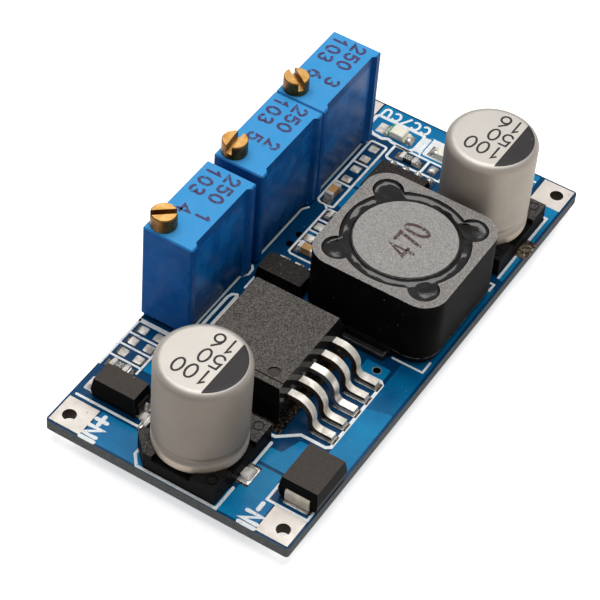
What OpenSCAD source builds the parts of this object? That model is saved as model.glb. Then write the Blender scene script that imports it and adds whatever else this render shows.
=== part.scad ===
// Adjustable step-down converter module: a small board with three multi-turn trimmers,
// a five-lead regulator, a shielded inductor, two electrolytic capacitors and small chips.
// Origin: centre of the board's underside. +X runs from the input end to the output end,
// +Y towards the trimmers, +Z up through the components. Millimetres.

$fn = 48;

/* [Board] */
// Length of the board, from the input end to the output end
board_l = 48; // [47.5:0.5:60]
// Width of the board
board_w = 23; // [22.5:0.5:30]
// Thickness of the board
board_t = 1.05; // [0.8:0.05:1.6]
// Radius of the board's corners
board_corner_r = 0.3; // [0.2:0.1:1]
// Thickness of the tinned lands on the board
land_t = 0.05; // [0.03:0.01:0.1]
// Radius of the small vias
via_r = 0.28; // [0.2:0.02:0.35]

/* [Corner terminals] */
// Side of each square terminal land
terminal_side = 2.95; // [2.6:0.05:3.2]
// Bare margin between a terminal land and the board's edges
terminal_margin = 0.2; // [0.1:0.05:0.4]
// Radius of the plated terminal hole
terminal_hole_r = 0.6; // [0.5:0.05:0.8]
// Distance from the hole's centre to the board's end
terminal_end_inset = 1.45; // [1.3:0.05:1.8]
// Distance from the hole's centre to the board's long side
terminal_side_inset = 1.35; // [1.25:0.05:1.8]
// Thickness of the plating in the hole
plating_t = 0.04; // [0.03:0.01:0.08]

/* [Trimmers] */
// Length of a trimmer, along the board
trimmer_l = 9.53; // [9.4:0.01:9.7]
// Width of a trimmer, across the board
trimmer_w = 4.83; // [4.7:0.01:5]
// Height of a trimmer's body without its feet
trimmer_h = 9.97; // [9.6:0.01:11]
// Height of the feet under a trimmer
trimmer_foot_h = 0.41; // [0.3:0.01:0.6]
// Share of the free length beside the trimmers that lies on their input side
trimmer_share = 0.742; // [0.7:0.002:0.78]
// Gap between the first and the second trimmer
trimmer_gap_1 = 0.86; // [0.05:0.01:1]
// Gap between the second and the third trimmer
trimmer_gap_2 = 0.05; // [0.05:0.01:0.3]
// How far the trimmers stand out over the board's long side
trimmer_overhang = 0.22; // [0:0.01:0.3]
// Width of the rib at each end of a trimmer's inner side
trimmer_rib = 0.7; // [0.5:0.05:0.9]
// How far the ribs stand proud of the filled inner side
trimmer_recess = 0.35; // [0.2:0.05:0.5]
// Thickness of the outer wall behind the rotor
trimmer_wall = 0.5; // [0.4:0.05:0.6]
// Thickness of the roof over the rotor
trimmer_roof = 1; // [0.9:0.05:1.3]
// Chamfer along the top edges of a trimmer
trimmer_edge = 0.12; // [0.05:0.01:0.2]
// Radius of a trimmer's upright corners
trimmer_corner_r = 0.2; // [0.1:0.05:0.3]
// Thickness of the floor under the rotor
trimmer_floor = 1.4; // [1.2:0.05:1.6]
// Distance from the screw's axis to the housing's end
screw_end_inset = 1.27; // [1.2:0.01:1.4]
// Distance from the screw's axis to the housing's outer side
screw_side_inset = 1.22; // [1.2:0.01:1.35]
// Radius of the screw's head
screw_head_r = 1.12; // [0.95:0.01:1.2]
// Height of the screw's head
screw_head_h = 1.4; // [1.1:0.05:1.8]
// Width of the screwdriver slot
screw_slot_w = 0.55; // [0.4:0.05:0.7]
// Depth of the screwdriver slot
screw_slot_d = 0.8; // [0.5:0.05:1]
// Direction of each screw's slot at rest, in degrees
screw_slot_angles = [-50, 5, 55];
// Radius of the screw's neck and of the root of its worm
screw_core_r = 0.6; // [0.5:0.02:0.64]
// Radius of the collar that keeps the screw in
screw_collar_r = 0.85; // [0.75:0.01:0.88]
// Radius of the screw's lower pivot
screw_pivot_r = 0.4; // [0.3:0.02:0.45]
// Length of the screw's lower pivot
screw_pivot_l = 0.7; // [0.5:0.05:0.9]
// Radius of the bore that the screw's collar turns in
screw_bore_r = 0.92; // [0.91:0.01:1]
// Running clearance round the screw and the rotor's stub
running_gap = 0.05; // [0.03:0.01:0.09]
// Radius of the seal ring's cord
seal_cord_r = 0.14; // [0.1:0.01:0.15]
// Clearance between the rotor's teeth and the end of their room
rotor_clear = 0.19; // [0.1:0.01:0.4]
// Depth of the rotor's teeth
rotor_tooth_d = 0.35; // [0.25:0.05:0.45]
// Number of the rotor's teeth
rotor_teeth = 30; // [24:1:40]
// Thickness of the rotor
rotor_t = 1.2; // [1:0.05:1.25]
// Radius of the rotor's bearing stub
rotor_stub_r = 0.8; // [0.6:0.05:1]
// Length of the rotor's bearing stub in the outer wall
rotor_stub_l = 0.25; // [0.15:0.05:0.3]
// Gap between the rotor's teeth and the root of the worm
mesh_gap = 0.12; // [0.08:0.01:0.2]
// Thickness of the wiper's spring metal
wiper_t = 0.15; // [0.1:0.01:0.2]
// Thickness of the ceramic element
element_t = 0.6; // [0.5:0.05:0.7]
// Radius of a trimmer's pins
trimmer_pin_r = 0.25; // [0.2:0.01:0.3]
// Distance between a trimmer's pins
trimmer_pin_pitch = 2.54; // [2.4:0.01:2.6]
// How far the pins reach below the board
trimmer_pin_reach = 1.2; // [0.9:0.1:2]
// Radius of the plated holes for the pins
trimmer_pin_hole_r = 0.45; // [0.4:0.01:0.55]
// Radius of the solder cone round each pin
solder_cone_r = 0.85; // [0.7:0.05:1]
// Height of the solder cone under the board
solder_cone_h = 0.75; // [0.5:0.05:0.85]

/* [Electrolytic capacitors] */
// Radius of a capacitor's can
can_r = 3.95; // [3.7:0.05:4]
// Height of the can's top above its lands
can_top = 10.8; // [9:0.1:12]
// Radius of the can's top edge
can_edge_r = 0.7; // [0.4:0.05:1]
// Radius of the can's curled foot
can_curl_r = 0.5; // [0.3:0.05:0.7]
// Height of the crimped groove's middle above the can's foot
can_groove_h = 1.6; // [1.2:0.05:2]
// Radius of the crimped groove's section
can_groove_r = 0.7; // [0.4:0.05:0.8]
// Depth of the crimped groove
can_groove_d = 0.2; // [0.05:0.01:0.25]
// Side of the square base under the can
can_base_side = 8.3; // [8.2:0.05:8.5]
// Thickness of the base's floor
can_base_floor = 1.3; // [0.8:0.05:1.4]
// Height of the base's corner guards above its floor
can_guard_h = 0.5; // [0.3:0.05:1.2]
// Length of the cut-off corners on the base's positive side
can_base_cut = 1.55; // [1:0.05:1.9]
// Clearance between the can and its corner guards
can_clear = 0.05; // [0.03:0.01:0.1]
// Width of a capacitor's solder strips
can_strip_w = 0.9; // [0.6:0.05:1.2]
// Thickness of a capacitor's solder strips
can_strip_t = 0.2; // [0.1:0.05:0.3]
// How far the solder strips reach out of the base
can_strip_reach = 0.85; // [0.5:0.05:1]
// Width of the land under a capacitor's strip
can_land_w = 2.3; // [1.6:0.05:2.6]
// Length of the land under a capacitor's strip
can_land_l = 3.2; // [2.6:0.05:3.4]

/* [Inductor] */
// Length of the inductor's shield along the board
shield_l = 12.35; // [12:0.05:12.6]
// Width of the shield across the board
shield_w = 12.45; // [12:0.05:12.8]
// Height of the shield's top above the lands
shield_top = 6.95; // [6:0.05:8]
// Radius of the shield's corners
shield_corner_r = 2.2; // [1.8:0.1:2.4]
// Radius of the shield's opening
shield_bore_r = 5.55; // [5.3:0.05:5.6]
// Radius of each glue lobe at the opening's corners
shield_lobe_r = 1.35; // [1:0.05:1.4]
// Distance of the lobes' centres from the middle, along each side
shield_lobe_offset = 4.1; // [3.9:0.05:4.15]
// Radius of the drum core's flanges
drum_r = 4.5; // [4.2:0.05:4.8]
// Radius of the drum core's post
drum_post_r = 2.4; // [2:0.1:2.8]
// Thickness of the drum core's flanges
drum_flange_t = 1.2; // [1:0.05:1.5]
// Outer radius of the winding
winding_r = 4.2; // [3.4:0.05:4.2]
// Thickness of the glue between drum and shield
glue_t = 1.1; // [0.8:0.05:1.4]
// Depth of the glue's surface below the shield's top
glue_sink = 0.35; // [0.1:0.05:0.6]
// Thickness of the plastic base under the shield
coil_base_t = 0.8; // [0.6:0.05:1]
// How much smaller the base is than the shield all round
coil_base_inset = 0.3; // [0.1:0.05:0.5]
// Length of the lip that holds a terminal on each end of the base
coil_lip_l = 5.6; // [4.5:0.1:6]
// Height of the lips
coil_lip_h = 1.05; // [0.9:0.05:1.3]
// How far the lips stand out past the shield
coil_lip_reach = 0.3; // [0.2:0.05:0.5]
// Width of the inductor's terminals
clip_w = 4.2; // [3:0.1:5]
// Length of the inductor's terminals under the base
clip_l = 2.6; // [2:0.1:3]
// Thickness of the inductor's terminals
clip_t = 0.25; // [0.15:0.05:0.3]

/* [Regulator] */
// Length of the regulator's body along the board, at its widest
regulator_l = 9.95; // [9.7:0.05:10.2]
// Width of the regulator's body across the board, at its widest
regulator_w = 8.8; // [8.4:0.05:8.9]
// Height of the regulator's top above its lands
regulator_h = 4.35; // [4:0.05:4.7]
// Height at which the body is widest, where its mould parts
regulator_parting = 2.7; // [2.4:0.05:2.9]
// Draft of the moulded bodies, in degrees
mould_draft = 8; // [3:1:12]
// Draft of the regulator's body above its parting line, in degrees
regulator_draft = 14; // [6:1:18]
// Height of the leads' middle above the parting line
lead_exit = 0.1; // [0:0.05:0.3]
// Thickness of the regulator's metal tab
regulator_tab_t = 1.27; // [1.1:0.01:1.5]
// How far the tab reaches out behind the body
regulator_tab_reach = 1.3; // [1:0.05:1.5]
// Length of the tab along the board
regulator_tab_l = 8.6; // [8:0.05:9]
// Distance between the regulator's leads
lead_pitch = 1.7; // [1.5:0.01:1.8]
// Width of the regulator's leads
lead_w = 0.7; // [0.6:0.05:0.9]
// Thickness of the regulator's leads
lead_t = 0.5; // [0.35:0.01:0.55]
// Outer radius of the leads' upper bends
lead_knee_r = 1.75; // [1.2:0.05:1.8]
// Outer radius of the leads' lower bends
lead_heel_r = 1.15; // [0.8:0.05:1.2]
// How far the leads stand out of the body
lead_reach = 4.25; // [3.9:0.05:4.4]
// Length of the leads' soldered feet
lead_foot = 1.85; // [1.7:0.05:2.2]
// Radius of the first-lead mark
index_mark_r = 0.55; // [0.3:0.05:0.7]
// Depth of the marks moulded into the bodies
index_mark_d = 0.15; // [0.05:0.01:0.2]

/* [Small regulator] */
// Width of the small regulator's body along the board
small_reg_w = 2.45; // [2.2:0.05:2.6]
// Length of its body across the board
small_reg_l = 4.5; // [4.3:0.05:4.6]
// Height of its body
small_reg_h = 1.5; // [1.3:0.05:1.6]
// Distance between its leads
small_reg_pitch = 1.5; // [1.4:0.05:1.5]
// Thickness of its leads and tab
small_reg_lead_t = 0.4; // [0.3:0.02:0.45]
// Width of its tab
small_reg_tab_w = 1.7; // [1.4:0.05:1.8]
// How far its tab stands out of its body
small_reg_tab_reach = 0.6; // [0.4:0.05:0.8]
// Width of its leads
small_reg_lead_w = 0.45; // [0.35:0.01:0.5]
// How far its leads stand out of its body
small_reg_lead_reach = 0.9; // [0.7:0.05:1]

/* [Amplifier] */
// Width of the amplifier's body along the board
amp_w = 3.9; // [3.8:0.05:4]
// Length of its body across the board
amp_l = 4.9; // [4.8:0.05:5]
// Height of its body above the lands
amp_h = 1.6; // [1.4:0.05:1.75]
// Distance between its leads
amp_pitch = 1.27; // [1.2:0.01:1.3]
// Thickness of its leads
amp_lead_t = 0.2; // [0.15:0.01:0.25]
// Width of its leads
amp_lead_w = 0.4; // [0.35:0.01:0.5]
// How far its leads stand out of its body
amp_lead_reach = 1.05; // [1:0.05:1.1]
// Length of its leads' soldered feet
amp_lead_foot = 0.55; // [0.4:0.05:0.6]
// Height at which its body is widest
amp_parting = 0.85; // [0.75:0.05:0.95]
// Gap under its body
amp_stand = 0.1; // [0.05:0.01:0.2]

/* [Diodes] */
// Length of the input diode's body, across the board
input_diode_l = 4.3; // [3.8:0.05:4.5]
// Width of the input diode's body
input_diode_w = 2.45; // [2.3:0.05:2.8]
// Height of the input diode's body
input_diode_h = 2.15; // [2:0.05:2.4]
// Length of the catch diode's body, along the board
catch_diode_l = 4.5; // [4.1:0.05:4.7]
// Width of the catch diode's body
catch_diode_w = 3.65; // [3.4:0.05:3.8]
// Height of the catch diode's body
catch_diode_h = 2.25; // [2:0.05:2.4]
// Draft of the diodes' bodies above their parting line, in degrees
diode_draft = 9; // [5:1:12]
// Height of the diodes' parting line, as a share of the body's height
diode_parting = 0.4; // [0.3:0.05:0.5]
// Gap under the diodes' bodies
diode_stand = 0.1; // [0.05:0.01:0.15]
// Length of the diodes' terminals under their bodies
diode_foot = 1.3; // [1:0.05:1.4]
// Thickness of the diodes' terminals
diode_strip_t = 0.2; // [0.15:0.01:0.25]
// How far the diodes' terminals stand out of their bodies
diode_reach = 0.15; // [0.1:0.05:0.6]

/* [Chips] */
// Length of a chip
chip_l = 1.6; // [1.5:0.05:1.7]
// Width of a chip
chip_w = 0.8; // [0.7:0.05:0.9]
// Height of a chip resistor
chip_resistor_h = 0.4; // [0.3:0.05:0.55]
// Height of a chip capacitor
chip_cap_h = 0.8; // [0.6:0.05:0.9]
// Length of the metal ends on a chip
chip_end = 0.35; // [0.25:0.05:0.4]
// Thickness of the metal ends over the ceramic
chip_end_t = 0.03; // [0.02:0.01:0.05]
// Length of a light's green carrier
led_l = 2; // [1.9:0.05:2.1]
// Width of a light
led_w = 1.25; // [1.1:0.05:1.3]
// Height of a light's green carrier
led_carrier_t = 0.2; // [0.15:0.05:0.4]
// Length of a light's clear lens
led_lens_l = 1.45; // [1.2:0.05:1.6]
// Height of a light's clear lens
led_lens_h = 0.35; // [0.3:0.05:0.6]

/* [Layout] */
// Shares of the board's free length before the capacitor at the input, the
// regulator, the inductor and the capacitor at the output
length_shares = [0.04, 0.14, 0.2, 0.06];
// Shares of the board's free width at the output end, before the capacitor, the
// amplifier and the row of chips
width_shares = [0.02, 0.25, 0.57];
// Distance from the input diode's middle to the board's input end
input_diode_end = 5.2; // [4.8:0.05:5.4]
// Distance from the input diode's middle to the board's long side
input_diode_side = 3.75; // [3.7:0.05:3.9]
// Distance from the catch diode's middle to the board's input end
catch_diode_end = 6.3; // [5.9:0.05:6.5]
// Distance from the catch diode's middle to the board's long side
catch_diode_side = 1.75; // [1.65:0.05:1.9]
// Gap between the input capacitor's strip and the input diode
input_gap = 0.75; // [0.3:0.05:0.9]
// Gap between the regulator's tab and the trimmers
regulator_gap = 1.14; // [0.9:0.02:1.3]
// Gap between the small regulator and the trimmers
small_reg_gap = 0.7; // [0.5:0.02:0.8]
// Gap between the small regulator and the inductor
coil_gap = 0.33; // [0.2:0.01:0.5]
// How far the small regulator lies towards the input from the inductor's middle
small_reg_shift = 4.1; // [3.8:0.05:4.5]
// How far the amplifier lies towards the input from the output capacitor's middle
amp_shift = 0.88; // [0.5:0.02:1]
// Gap between the amplifier's leads and the chip beside them
amp_gap = 1.15; // [0.8:0.05:1.3]
// Gap between that chip and the lights
led_gap = 1.2; // [1:0.05:1.4]
// Distance between the two lights
led_pitch = 4.8; // [4.2:0.1:5]

/* [Hidden] */
TRIMMERS = ["voltage_trimmer", "indicator_trimmer", "current_trimmer"];
TRIMMER_PARTS = ["housing", "screw", "seal", "rotor", "wiper", "element", "pins", "potting"];
CANS = ["input_capacitor", "output_capacitor"];

eps = 0.01;
sides = [-1, 1];

// Heights
top_z = board_t;
land_z = board_t + land_t;
trimmer_z = top_z + trimmer_foot_h;

// Corner terminals
hole_x = board_l / 2 - terminal_end_inset;
hole_y = board_w / 2 - terminal_side_inset;
terminal_x = board_l / 2 - terminal_margin - terminal_side / 2;
terminal_y = board_w / 2 - terminal_margin - terminal_side / 2;

// Trimmers: a local frame with its corner at the screw end of the inner side
trimmer_row_l = 3 * trimmer_l + trimmer_gap_1 + trimmer_gap_2;
trimmer_start = -board_l / 2 + (board_l - trimmer_row_l) * trimmer_share;
trimmer_xs = [
    trimmer_start,
    trimmer_start + trimmer_l + trimmer_gap_1,
    trimmer_start + 2 * trimmer_l + trimmer_gap_1 + trimmer_gap_2
];
trimmer_y = board_w / 2 + trimmer_overhang - trimmer_w;
screw_y = trimmer_w - screw_side_inset;
shoulder = trimmer_rib + trimmer_recess;
inner_l = trimmer_l - 2 * shoulder;
rotor_room_x = screw_end_inset + screw_core_r + mesh_gap;
rotor_tip_r = (trimmer_l - shoulder - rotor_clear - rotor_room_x) / 2;
rotor_x = rotor_room_x + rotor_tip_r;
rotor_z = (trimmer_floor + trimmer_h - trimmer_roof) / 2;
rotor_y = trimmer_w - trimmer_wall - running_gap - rotor_t;
wiper_gap = 0.05;
wiper_lift = 0.2;
wiper_contact_r = 0.3;
wiper_r = rotor_tip_r - rotor_tooth_d - wiper_contact_r;
wiper_hole_r = wiper_r - 1.4;
element_y = rotor_y - wiper_t - wiper_lift - wiper_gap - element_t;
element_fit = 0.05;
pin_row_y = trimmer_w / 2;
pin_bend_z = trimmer_floor - 0.5;
pin_tab_t = 0.3;
pin_tab_w = 0.7;
pin_tab_h = 1.9;
potting_floor = 0.15;
screw_bore_top = trimmer_h - 0.5;
seal_r = screw_bore_r - seal_cord_r;
collar_top = screw_bore_top - 2 * seal_cord_r - running_gap;
collar_h = 0.45;

// Parts along the board: the free length is shared out between them
coil_l = shield_l + 2 * coil_lip_reach;
free_l = board_l - 2 * can_base_side - regulator_l - coil_l;
input_can_x = -board_l / 2 + length_shares[0] * free_l + can_base_side / 2;
regulator_x = input_can_x + can_base_side / 2 + length_shares[1] * free_l + regulator_l / 2;
coil_x = regulator_x + regulator_l / 2 + length_shares[2] * free_l + coil_l / 2;
output_can_x = coil_x + coil_l / 2 + length_shares[3] * free_l + can_base_side / 2;

// Parts across the board: what stands beside the trimmers is placed from them
can_span = can_base_side + 2 * can_strip_reach;
free_w = board_w / 2 + trimmer_y - can_span - amp_l - chip_w;
output_can_y = -board_w / 2 + width_shares[0] * free_w + can_span / 2;
amp_y = output_can_y + can_span / 2 + width_shares[1] * free_w + amp_l / 2;
chip_row_y = amp_y + amp_l / 2 + width_shares[2] * free_w + chip_w / 2;
small_reg_y = trimmer_y - small_reg_gap - small_reg_l / 2;
coil_y = small_reg_y - small_reg_l / 2 - coil_gap - shield_w / 2;
regulator_y = trimmer_y - regulator_gap - regulator_tab_reach - regulator_w / 2;
input_diode_y = board_w / 2 - input_diode_side;
input_can_y = input_diode_y - input_diode_l / 2 - diode_reach - input_gap - can_span / 2;

input_can_at = [input_can_x, input_can_y];
output_can_at = [output_can_x, output_can_y];
coil_at = [coil_x, coil_y];
regulator_at = [regulator_x, regulator_y];
small_reg_at = [coil_x - small_reg_shift, small_reg_y];
amp_at = [output_can_x - amp_shift, amp_y];
input_diode_at = [-board_l / 2 + input_diode_end, input_diode_y];
catch_diode_at = [-board_l / 2 + catch_diode_end, -board_w / 2 + catch_diode_side];

// Chips: place and direction of each one's long side
sense_x = amp_at[0] + amp_w / 2 + amp_lead_reach + amp_gap + chip_w / 2;
led_x = sense_x + chip_w / 2 + led_gap + led_w / 2;
led_y = chip_row_y - chip_w - 0.1;
sense_resistor_at = [sense_x, amp_y + 1.1, 90];
// Columns of chips between the input diode and the trimmers
column_start = input_diode_at[0] + input_diode_w / 2;
column_y = board_w / 2 - chip_l - 0.2;
function column(share) = [column_start + (trimmer_start - column_start) * share, column_y, 90];
feed_resistor_at = column(0.2);
// Rows of chips between the inductor and the trimmers
chip_column_y = trimmer_y - 2.75;
output_resistor_at = [coil_x + 4.7, chip_column_y, 90];
filter_capacitor_at = [coil_x - 0.15, chip_column_y, 90];
timing_capacitor_at = [output_can_x - 3.99, chip_row_y, 0];
mode_led_at = [led_x, led_y, 90];
ready_led_at = [led_x, led_y - led_pitch, 90];
CHIP_RESISTORS = [sense_resistor_at, feed_resistor_at, output_resistor_at];
CHIP_CAPACITORS = [timing_capacitor_at, filter_capacitor_at];
LEDS = [mode_led_at, ready_led_at];
// Bare land pairs that hold no chip
SPARE_CHIPS = [
    for (share = [0.415, 0.615, 0.815]) column(share),
    for (shift = [-0.8, 2.3]) [output_can_x + shift, chip_row_y, 0],
    for (shift = [1.45, 3.1]) [coil_x + shift, chip_column_y, 90]
];
VIAS = [
    [coil_x - 0.05, trimmer_y - 0.94],
    [coil_x + 1.35, trimmer_y - 1.04],
    [regulator_x + 4.95, coil_y - 2.8]
];

/* Shapes shared by several parts */

// A rectangle with rounded corners, centred
module rounded_rect(l, w, r) {
    square([l - 2 * r, w], center = true);
    square([l, w - 2 * r], center = true);
    for (x = sides, y = sides)
        translate([x * (l / 2 - r), y * (w / 2 - r)])
            circle(r);
}

// Section of a moulded body: widest at its parting line, drawn in on both sides of it
module mould_section(l, h, parting, draft) {
    low = l / 2 - parting * tan(mould_draft);
    high = l / 2 - (h - parting) * tan(draft);
    polygon([[-low, 0], [low, 0], [l / 2, parting], [high, h], [-high, h], [-l / 2, parting]]);
}

// A moulded package body, centred, standing on z = 0
module moulded_body(l, w, h, parting, draft = mould_draft) {
    intersection() {
        rotate([90, 0, 0])
            linear_extrude(w + 2, center = true)
                mould_section(l, h, parting, draft);
        rotate([90, 0, 90])
            linear_extrude(l + 2, center = true)
                mould_section(w, h, parting, draft);
    }
}

// A quarter of a ring: the section of a bend in a strip, in the +X +Y quarter
module bend(r, t) {
    intersection() {
        difference() {
            circle(r);
            circle(r - t);
        }
        square(r);
    }
}

// Section of a gull-wing lead: out of the body at (0, z), down, and out along the foot
module gull_section(reach, z, foot, knee_r, heel_r, t) {
    knee_x = reach - foot;
    translate([0, z - t / 2])
        square([knee_x - knee_r, t]);
    translate([knee_x - knee_r, z + t / 2 - knee_r])
        bend(knee_r, t);
    translate([knee_x - t, heel_r])
        square([t, z + t / 2 - knee_r - heel_r]);
    translate([knee_x - t + heel_r, heel_r])
        rotate(180)
            bend(heel_r, t);
    translate([knee_x - t + heel_r, 0])
        square([foot + t - heel_r, t]);
}

// Section of a strip that leaves a body at height z and folds back under it
module fold_section(reach, z, under, r, t) {
    translate([0, z - t])
        square([reach - r, t]);
    translate([reach - r, z - r])
        bend(r, t);
    translate([reach - t, r])
        square([t, z - 2 * r]);
    translate([reach - r, r])
        rotate(-90)
            bend(r, t);
    translate([reach - under, 0])
        square([under - r, t]);
}

// Stands a section up, so that it runs out along +X and is w wide
module strip(w) {
    rotate([90, 0, 0])
        linear_extrude(w, center = true)
            children();
}

// Moves children to a part's place on the board
module at(place, z) {
    translate([place[0], place[1], z])
        rotate(len(place) > 2 ? place[2] : 0)
            children();
}

/* Board */

module board() {
    color("royalblue")
        difference() {
            linear_extrude(board_t)
                rounded_rect(board_l, board_w, board_corner_r);
            board_holes();
        }
}

module board_holes() {
    translate([0, 0, -eps]) {
        for (x = sides, y = sides)
            translate([x * hole_x, y * hole_y])
                cylinder(r = terminal_hole_r + plating_t, h = board_t + 2 * eps);
        for (i = [0:2], k = [-1:1])
            translate([pin_x(i, k), trimmer_y + pin_row_y])
                cylinder(r = trimmer_pin_hole_r, h = board_t + 2 * eps);
        for (v = VIAS)
            translate(v)
                cylinder(r = via_r, h = board_t + 2 * eps);
    }
}

// Square tinned lands on both faces, joined by the plating in the hole
module terminal_pads() {
    color("silver")
        for (x = sides, y = sides)
            difference() {
                union() {
                    for (z = [-land_t, board_t])
                        translate([x * terminal_x, y * terminal_y, z + land_t / 2])
                            cube([terminal_side, terminal_side, land_t], center = true);
                    translate([x * hole_x, y * hole_y, -land_t])
                        cylinder(r = terminal_hole_r + plating_t, h = board_t + 2 * land_t);
                }
                translate([x * hole_x, y * hole_y, -land_t - eps])
                    cylinder(r = terminal_hole_r, h = board_t + 2 * land_t + 2 * eps);
            }
}

// Tinned lands under the soldered parts, and the bare pairs
module solder_lands() {
    color("silver")
        translate([0, 0, top_z])
            linear_extrude(land_t) {
                for (place = [input_can_at, output_can_at], y = sides)
                    translate([place[0], place[1] + y * (can_base_side / 2 - 0.5)])
                        square([can_land_w, can_land_l], center = true);
                regulator_lands();
                small_regulator_lands();
                amplifier_lands();
                coil_lands();
                diode_lands(input_diode_at, input_diode_l, input_diode_w, 90);
                diode_lands(catch_diode_at, catch_diode_l, catch_diode_w, 0);
                for (place = concat(CHIP_RESISTORS, CHIP_CAPACITORS, SPARE_CHIPS))
                    chip_lands(place, chip_l, chip_w);
                for (place = LEDS)
                    chip_lands(place, led_l, led_w);
            }
}

module chip_lands(place, l, w) {
    translate([place[0], place[1]])
        rotate(place[2])
            for (x = sides)
                translate([x * (l / 2 + 0.1), 0])
                    square([0.8, w + 0.1], center = true);
}

/* Trimmers */

// Place of pin k of trimmer i along the board
function pin_x(i, k) = trimmer_xs[i] + trimmer_l / 2 + k * trimmer_pin_pitch;

module at_trimmer(i) {
    translate([trimmer_xs[i], trimmer_y, trimmer_z])
        children();
}

// Blue moulded case, open on its inner side and under its pins
module trimmer_housing() {
    color("dodgerblue")
        difference() {
            union() {
                trimmer_block();
                trimmer_feet();
            }
            translate([0, 0, -eps])
                linear_extrude(trimmer_h + 2 * eps)
                    polygon([
                        [trimmer_rib - eps, -eps], [trimmer_l - trimmer_rib + eps, -eps],
                        [trimmer_l - shoulder, trimmer_recess], [shoulder, trimmer_recess]
                    ]);
            trimmer_cavity();
            screw_bore();
            rotor_bearing();
        }
}

// The case's outer form, with its top edges broken
module trimmer_block() {
    translate([trimmer_l / 2, trimmer_w / 2])
        intersection() {
            linear_extrude(trimmer_h)
                rounded_rect(trimmer_l, trimmer_w, trimmer_corner_r);
            rotate([90, 0, 0])
                linear_extrude(trimmer_w + 2, center = true)
                    trimmer_roof_section(trimmer_l / 2);
            rotate([90, 0, 90])
                linear_extrude(trimmer_l + 2, center = true)
                    trimmer_roof_section(trimmer_w / 2);
        }
}

module trimmer_roof_section(half) {
    low = -1;
    polygon([
        [-half, low], [half, low], [half, trimmer_h - trimmer_edge],
        [half - trimmer_edge, trimmer_h], [trimmer_edge - half, trimmer_h],
        [-half, trimmer_h - trimmer_edge]
    ]);
}

module trimmer_feet() {
    foot = [1, 0.9];
    for (x = [0.2, trimmer_l - 0.2 - foot[0]], y = [0.2, trimmer_w - 0.2 - foot[1]])
        translate([x, y, -trimmer_foot_h])
            cube([foot[0], foot[1], trimmer_foot_h + eps]);
}

// Room for the rotor, with a deeper part behind it that is open below
module trimmer_cavity() {
    roof_z = trimmer_h - trimmer_roof;
    translate([shoulder, 0, trimmer_floor])
        cube([inner_l, trimmer_w - trimmer_wall, roof_z - trimmer_floor]);
    translate([shoulder, 0, -trimmer_foot_h - eps])
        cube([inner_l, pin_row_y + trimmer_pin_r + element_fit, roof_z + trimmer_foot_h + eps]);
}

module screw_bore() {
    translate([screw_end_inset, screw_y, 0]) {
        translate([0, 0, trimmer_floor])
            cylinder(r = screw_bore_r, h = screw_bore_top - trimmer_floor);
        cylinder(r = screw_core_r + running_gap, h = trimmer_h + eps, $fn = 48);
        translate([0, 0, trimmer_floor - screw_pivot_l - running_gap])
            cylinder(r = screw_pivot_r + running_gap, h = screw_pivot_l + 2 * running_gap);
    }
}

// Shallow blind hole in the outer wall for the rotor's stub
module rotor_bearing() {
    translate([rotor_x, trimmer_w - trimmer_wall + rotor_stub_l + running_gap, rotor_z])
        rotate([90, 0, 0])
            cylinder(r = rotor_stub_r + running_gap, h = rotor_stub_l + 2 * running_gap);
}

// Brass screw: slotted head, neck, collar, worm and lower pivot
module trimmer_screw(angle) {
    color("goldenrod")
        translate([screw_end_inset, screw_y, 0])
            difference() {
                rotate_extrude()
                    polygon([
                        [0, trimmer_floor - screw_pivot_l],
                        [screw_pivot_r, trimmer_floor - screw_pivot_l],
                        [screw_pivot_r, trimmer_floor + running_gap],
                        [screw_core_r, trimmer_floor + running_gap],
                        [screw_core_r, collar_top - collar_h],
                        [screw_collar_r, collar_top - collar_h],
                        [screw_collar_r, collar_top],
                        [screw_core_r, collar_top],
                        [screw_core_r, trimmer_h + running_gap],
                        [screw_head_r, trimmer_h + running_gap],
                        [screw_head_r, trimmer_h + screw_head_h - 0.08],
                        [screw_head_r - 0.08, trimmer_h + screw_head_h],
                        [0, trimmer_h + screw_head_h]
                    ]);
                translate([0, 0, trimmer_h + screw_head_h])
                    rotate(angle)
                        cube([3 * screw_head_r, screw_slot_w, 2 * screw_slot_d], center = true);
            }
}

// Rubber ring that seals the screw's neck
module trimmer_seal() {
    color("dimgray")
        translate([screw_end_inset, screw_y, screw_bore_top - seal_cord_r])
            rotate_extrude()
                translate([seal_r, 0])
                    circle(seal_cord_r);
}

// Toothed wheel that the worm turns, with a stub that runs in the outer wall
module trimmer_rotor() {
    color("ivory")
        translate([rotor_x, rotor_y, rotor_z])
            rotate([-90, 0, 0]) {
                linear_extrude(rotor_t)
                    polygon(gear_outline(rotor_tip_r, rotor_tooth_d, rotor_teeth));
                cylinder(r = rotor_stub_r, h = rotor_t + running_gap + rotor_stub_l);
            }
}

// Points of a wheel with straight-sided teeth: root, root, tip, tip for each tooth
function gear_outline(tip_r, depth, teeth) = [
    for (i = [0:teeth - 1], k = [0:3])
        let (a = (i + [0, 0.4, 0.55, 0.85][k]) * 360 / teeth, r = k < 2 ? tip_r - depth : tip_r)
            [r * cos(a), r * sin(a)]
];

// Spring metal ring on the rotor, with two contacts that slide on the element
module trimmer_wiper() {
    color("gold")
        translate([rotor_x, rotor_y, rotor_z])
            rotate([90, 0, 0]) {
                difference() {
                    cylinder(r = wiper_r, h = wiper_t);
                    translate([0, 0, -eps])
                        cylinder(r = wiper_hole_r, h = wiper_t + 2 * eps);
                }
                for (x = sides)
                    translate([x * (wiper_r + wiper_hole_r) / 2, 0, wiper_t - eps])
                        cylinder(r = wiper_contact_r, h = wiper_lift + eps);
            }
}

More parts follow.
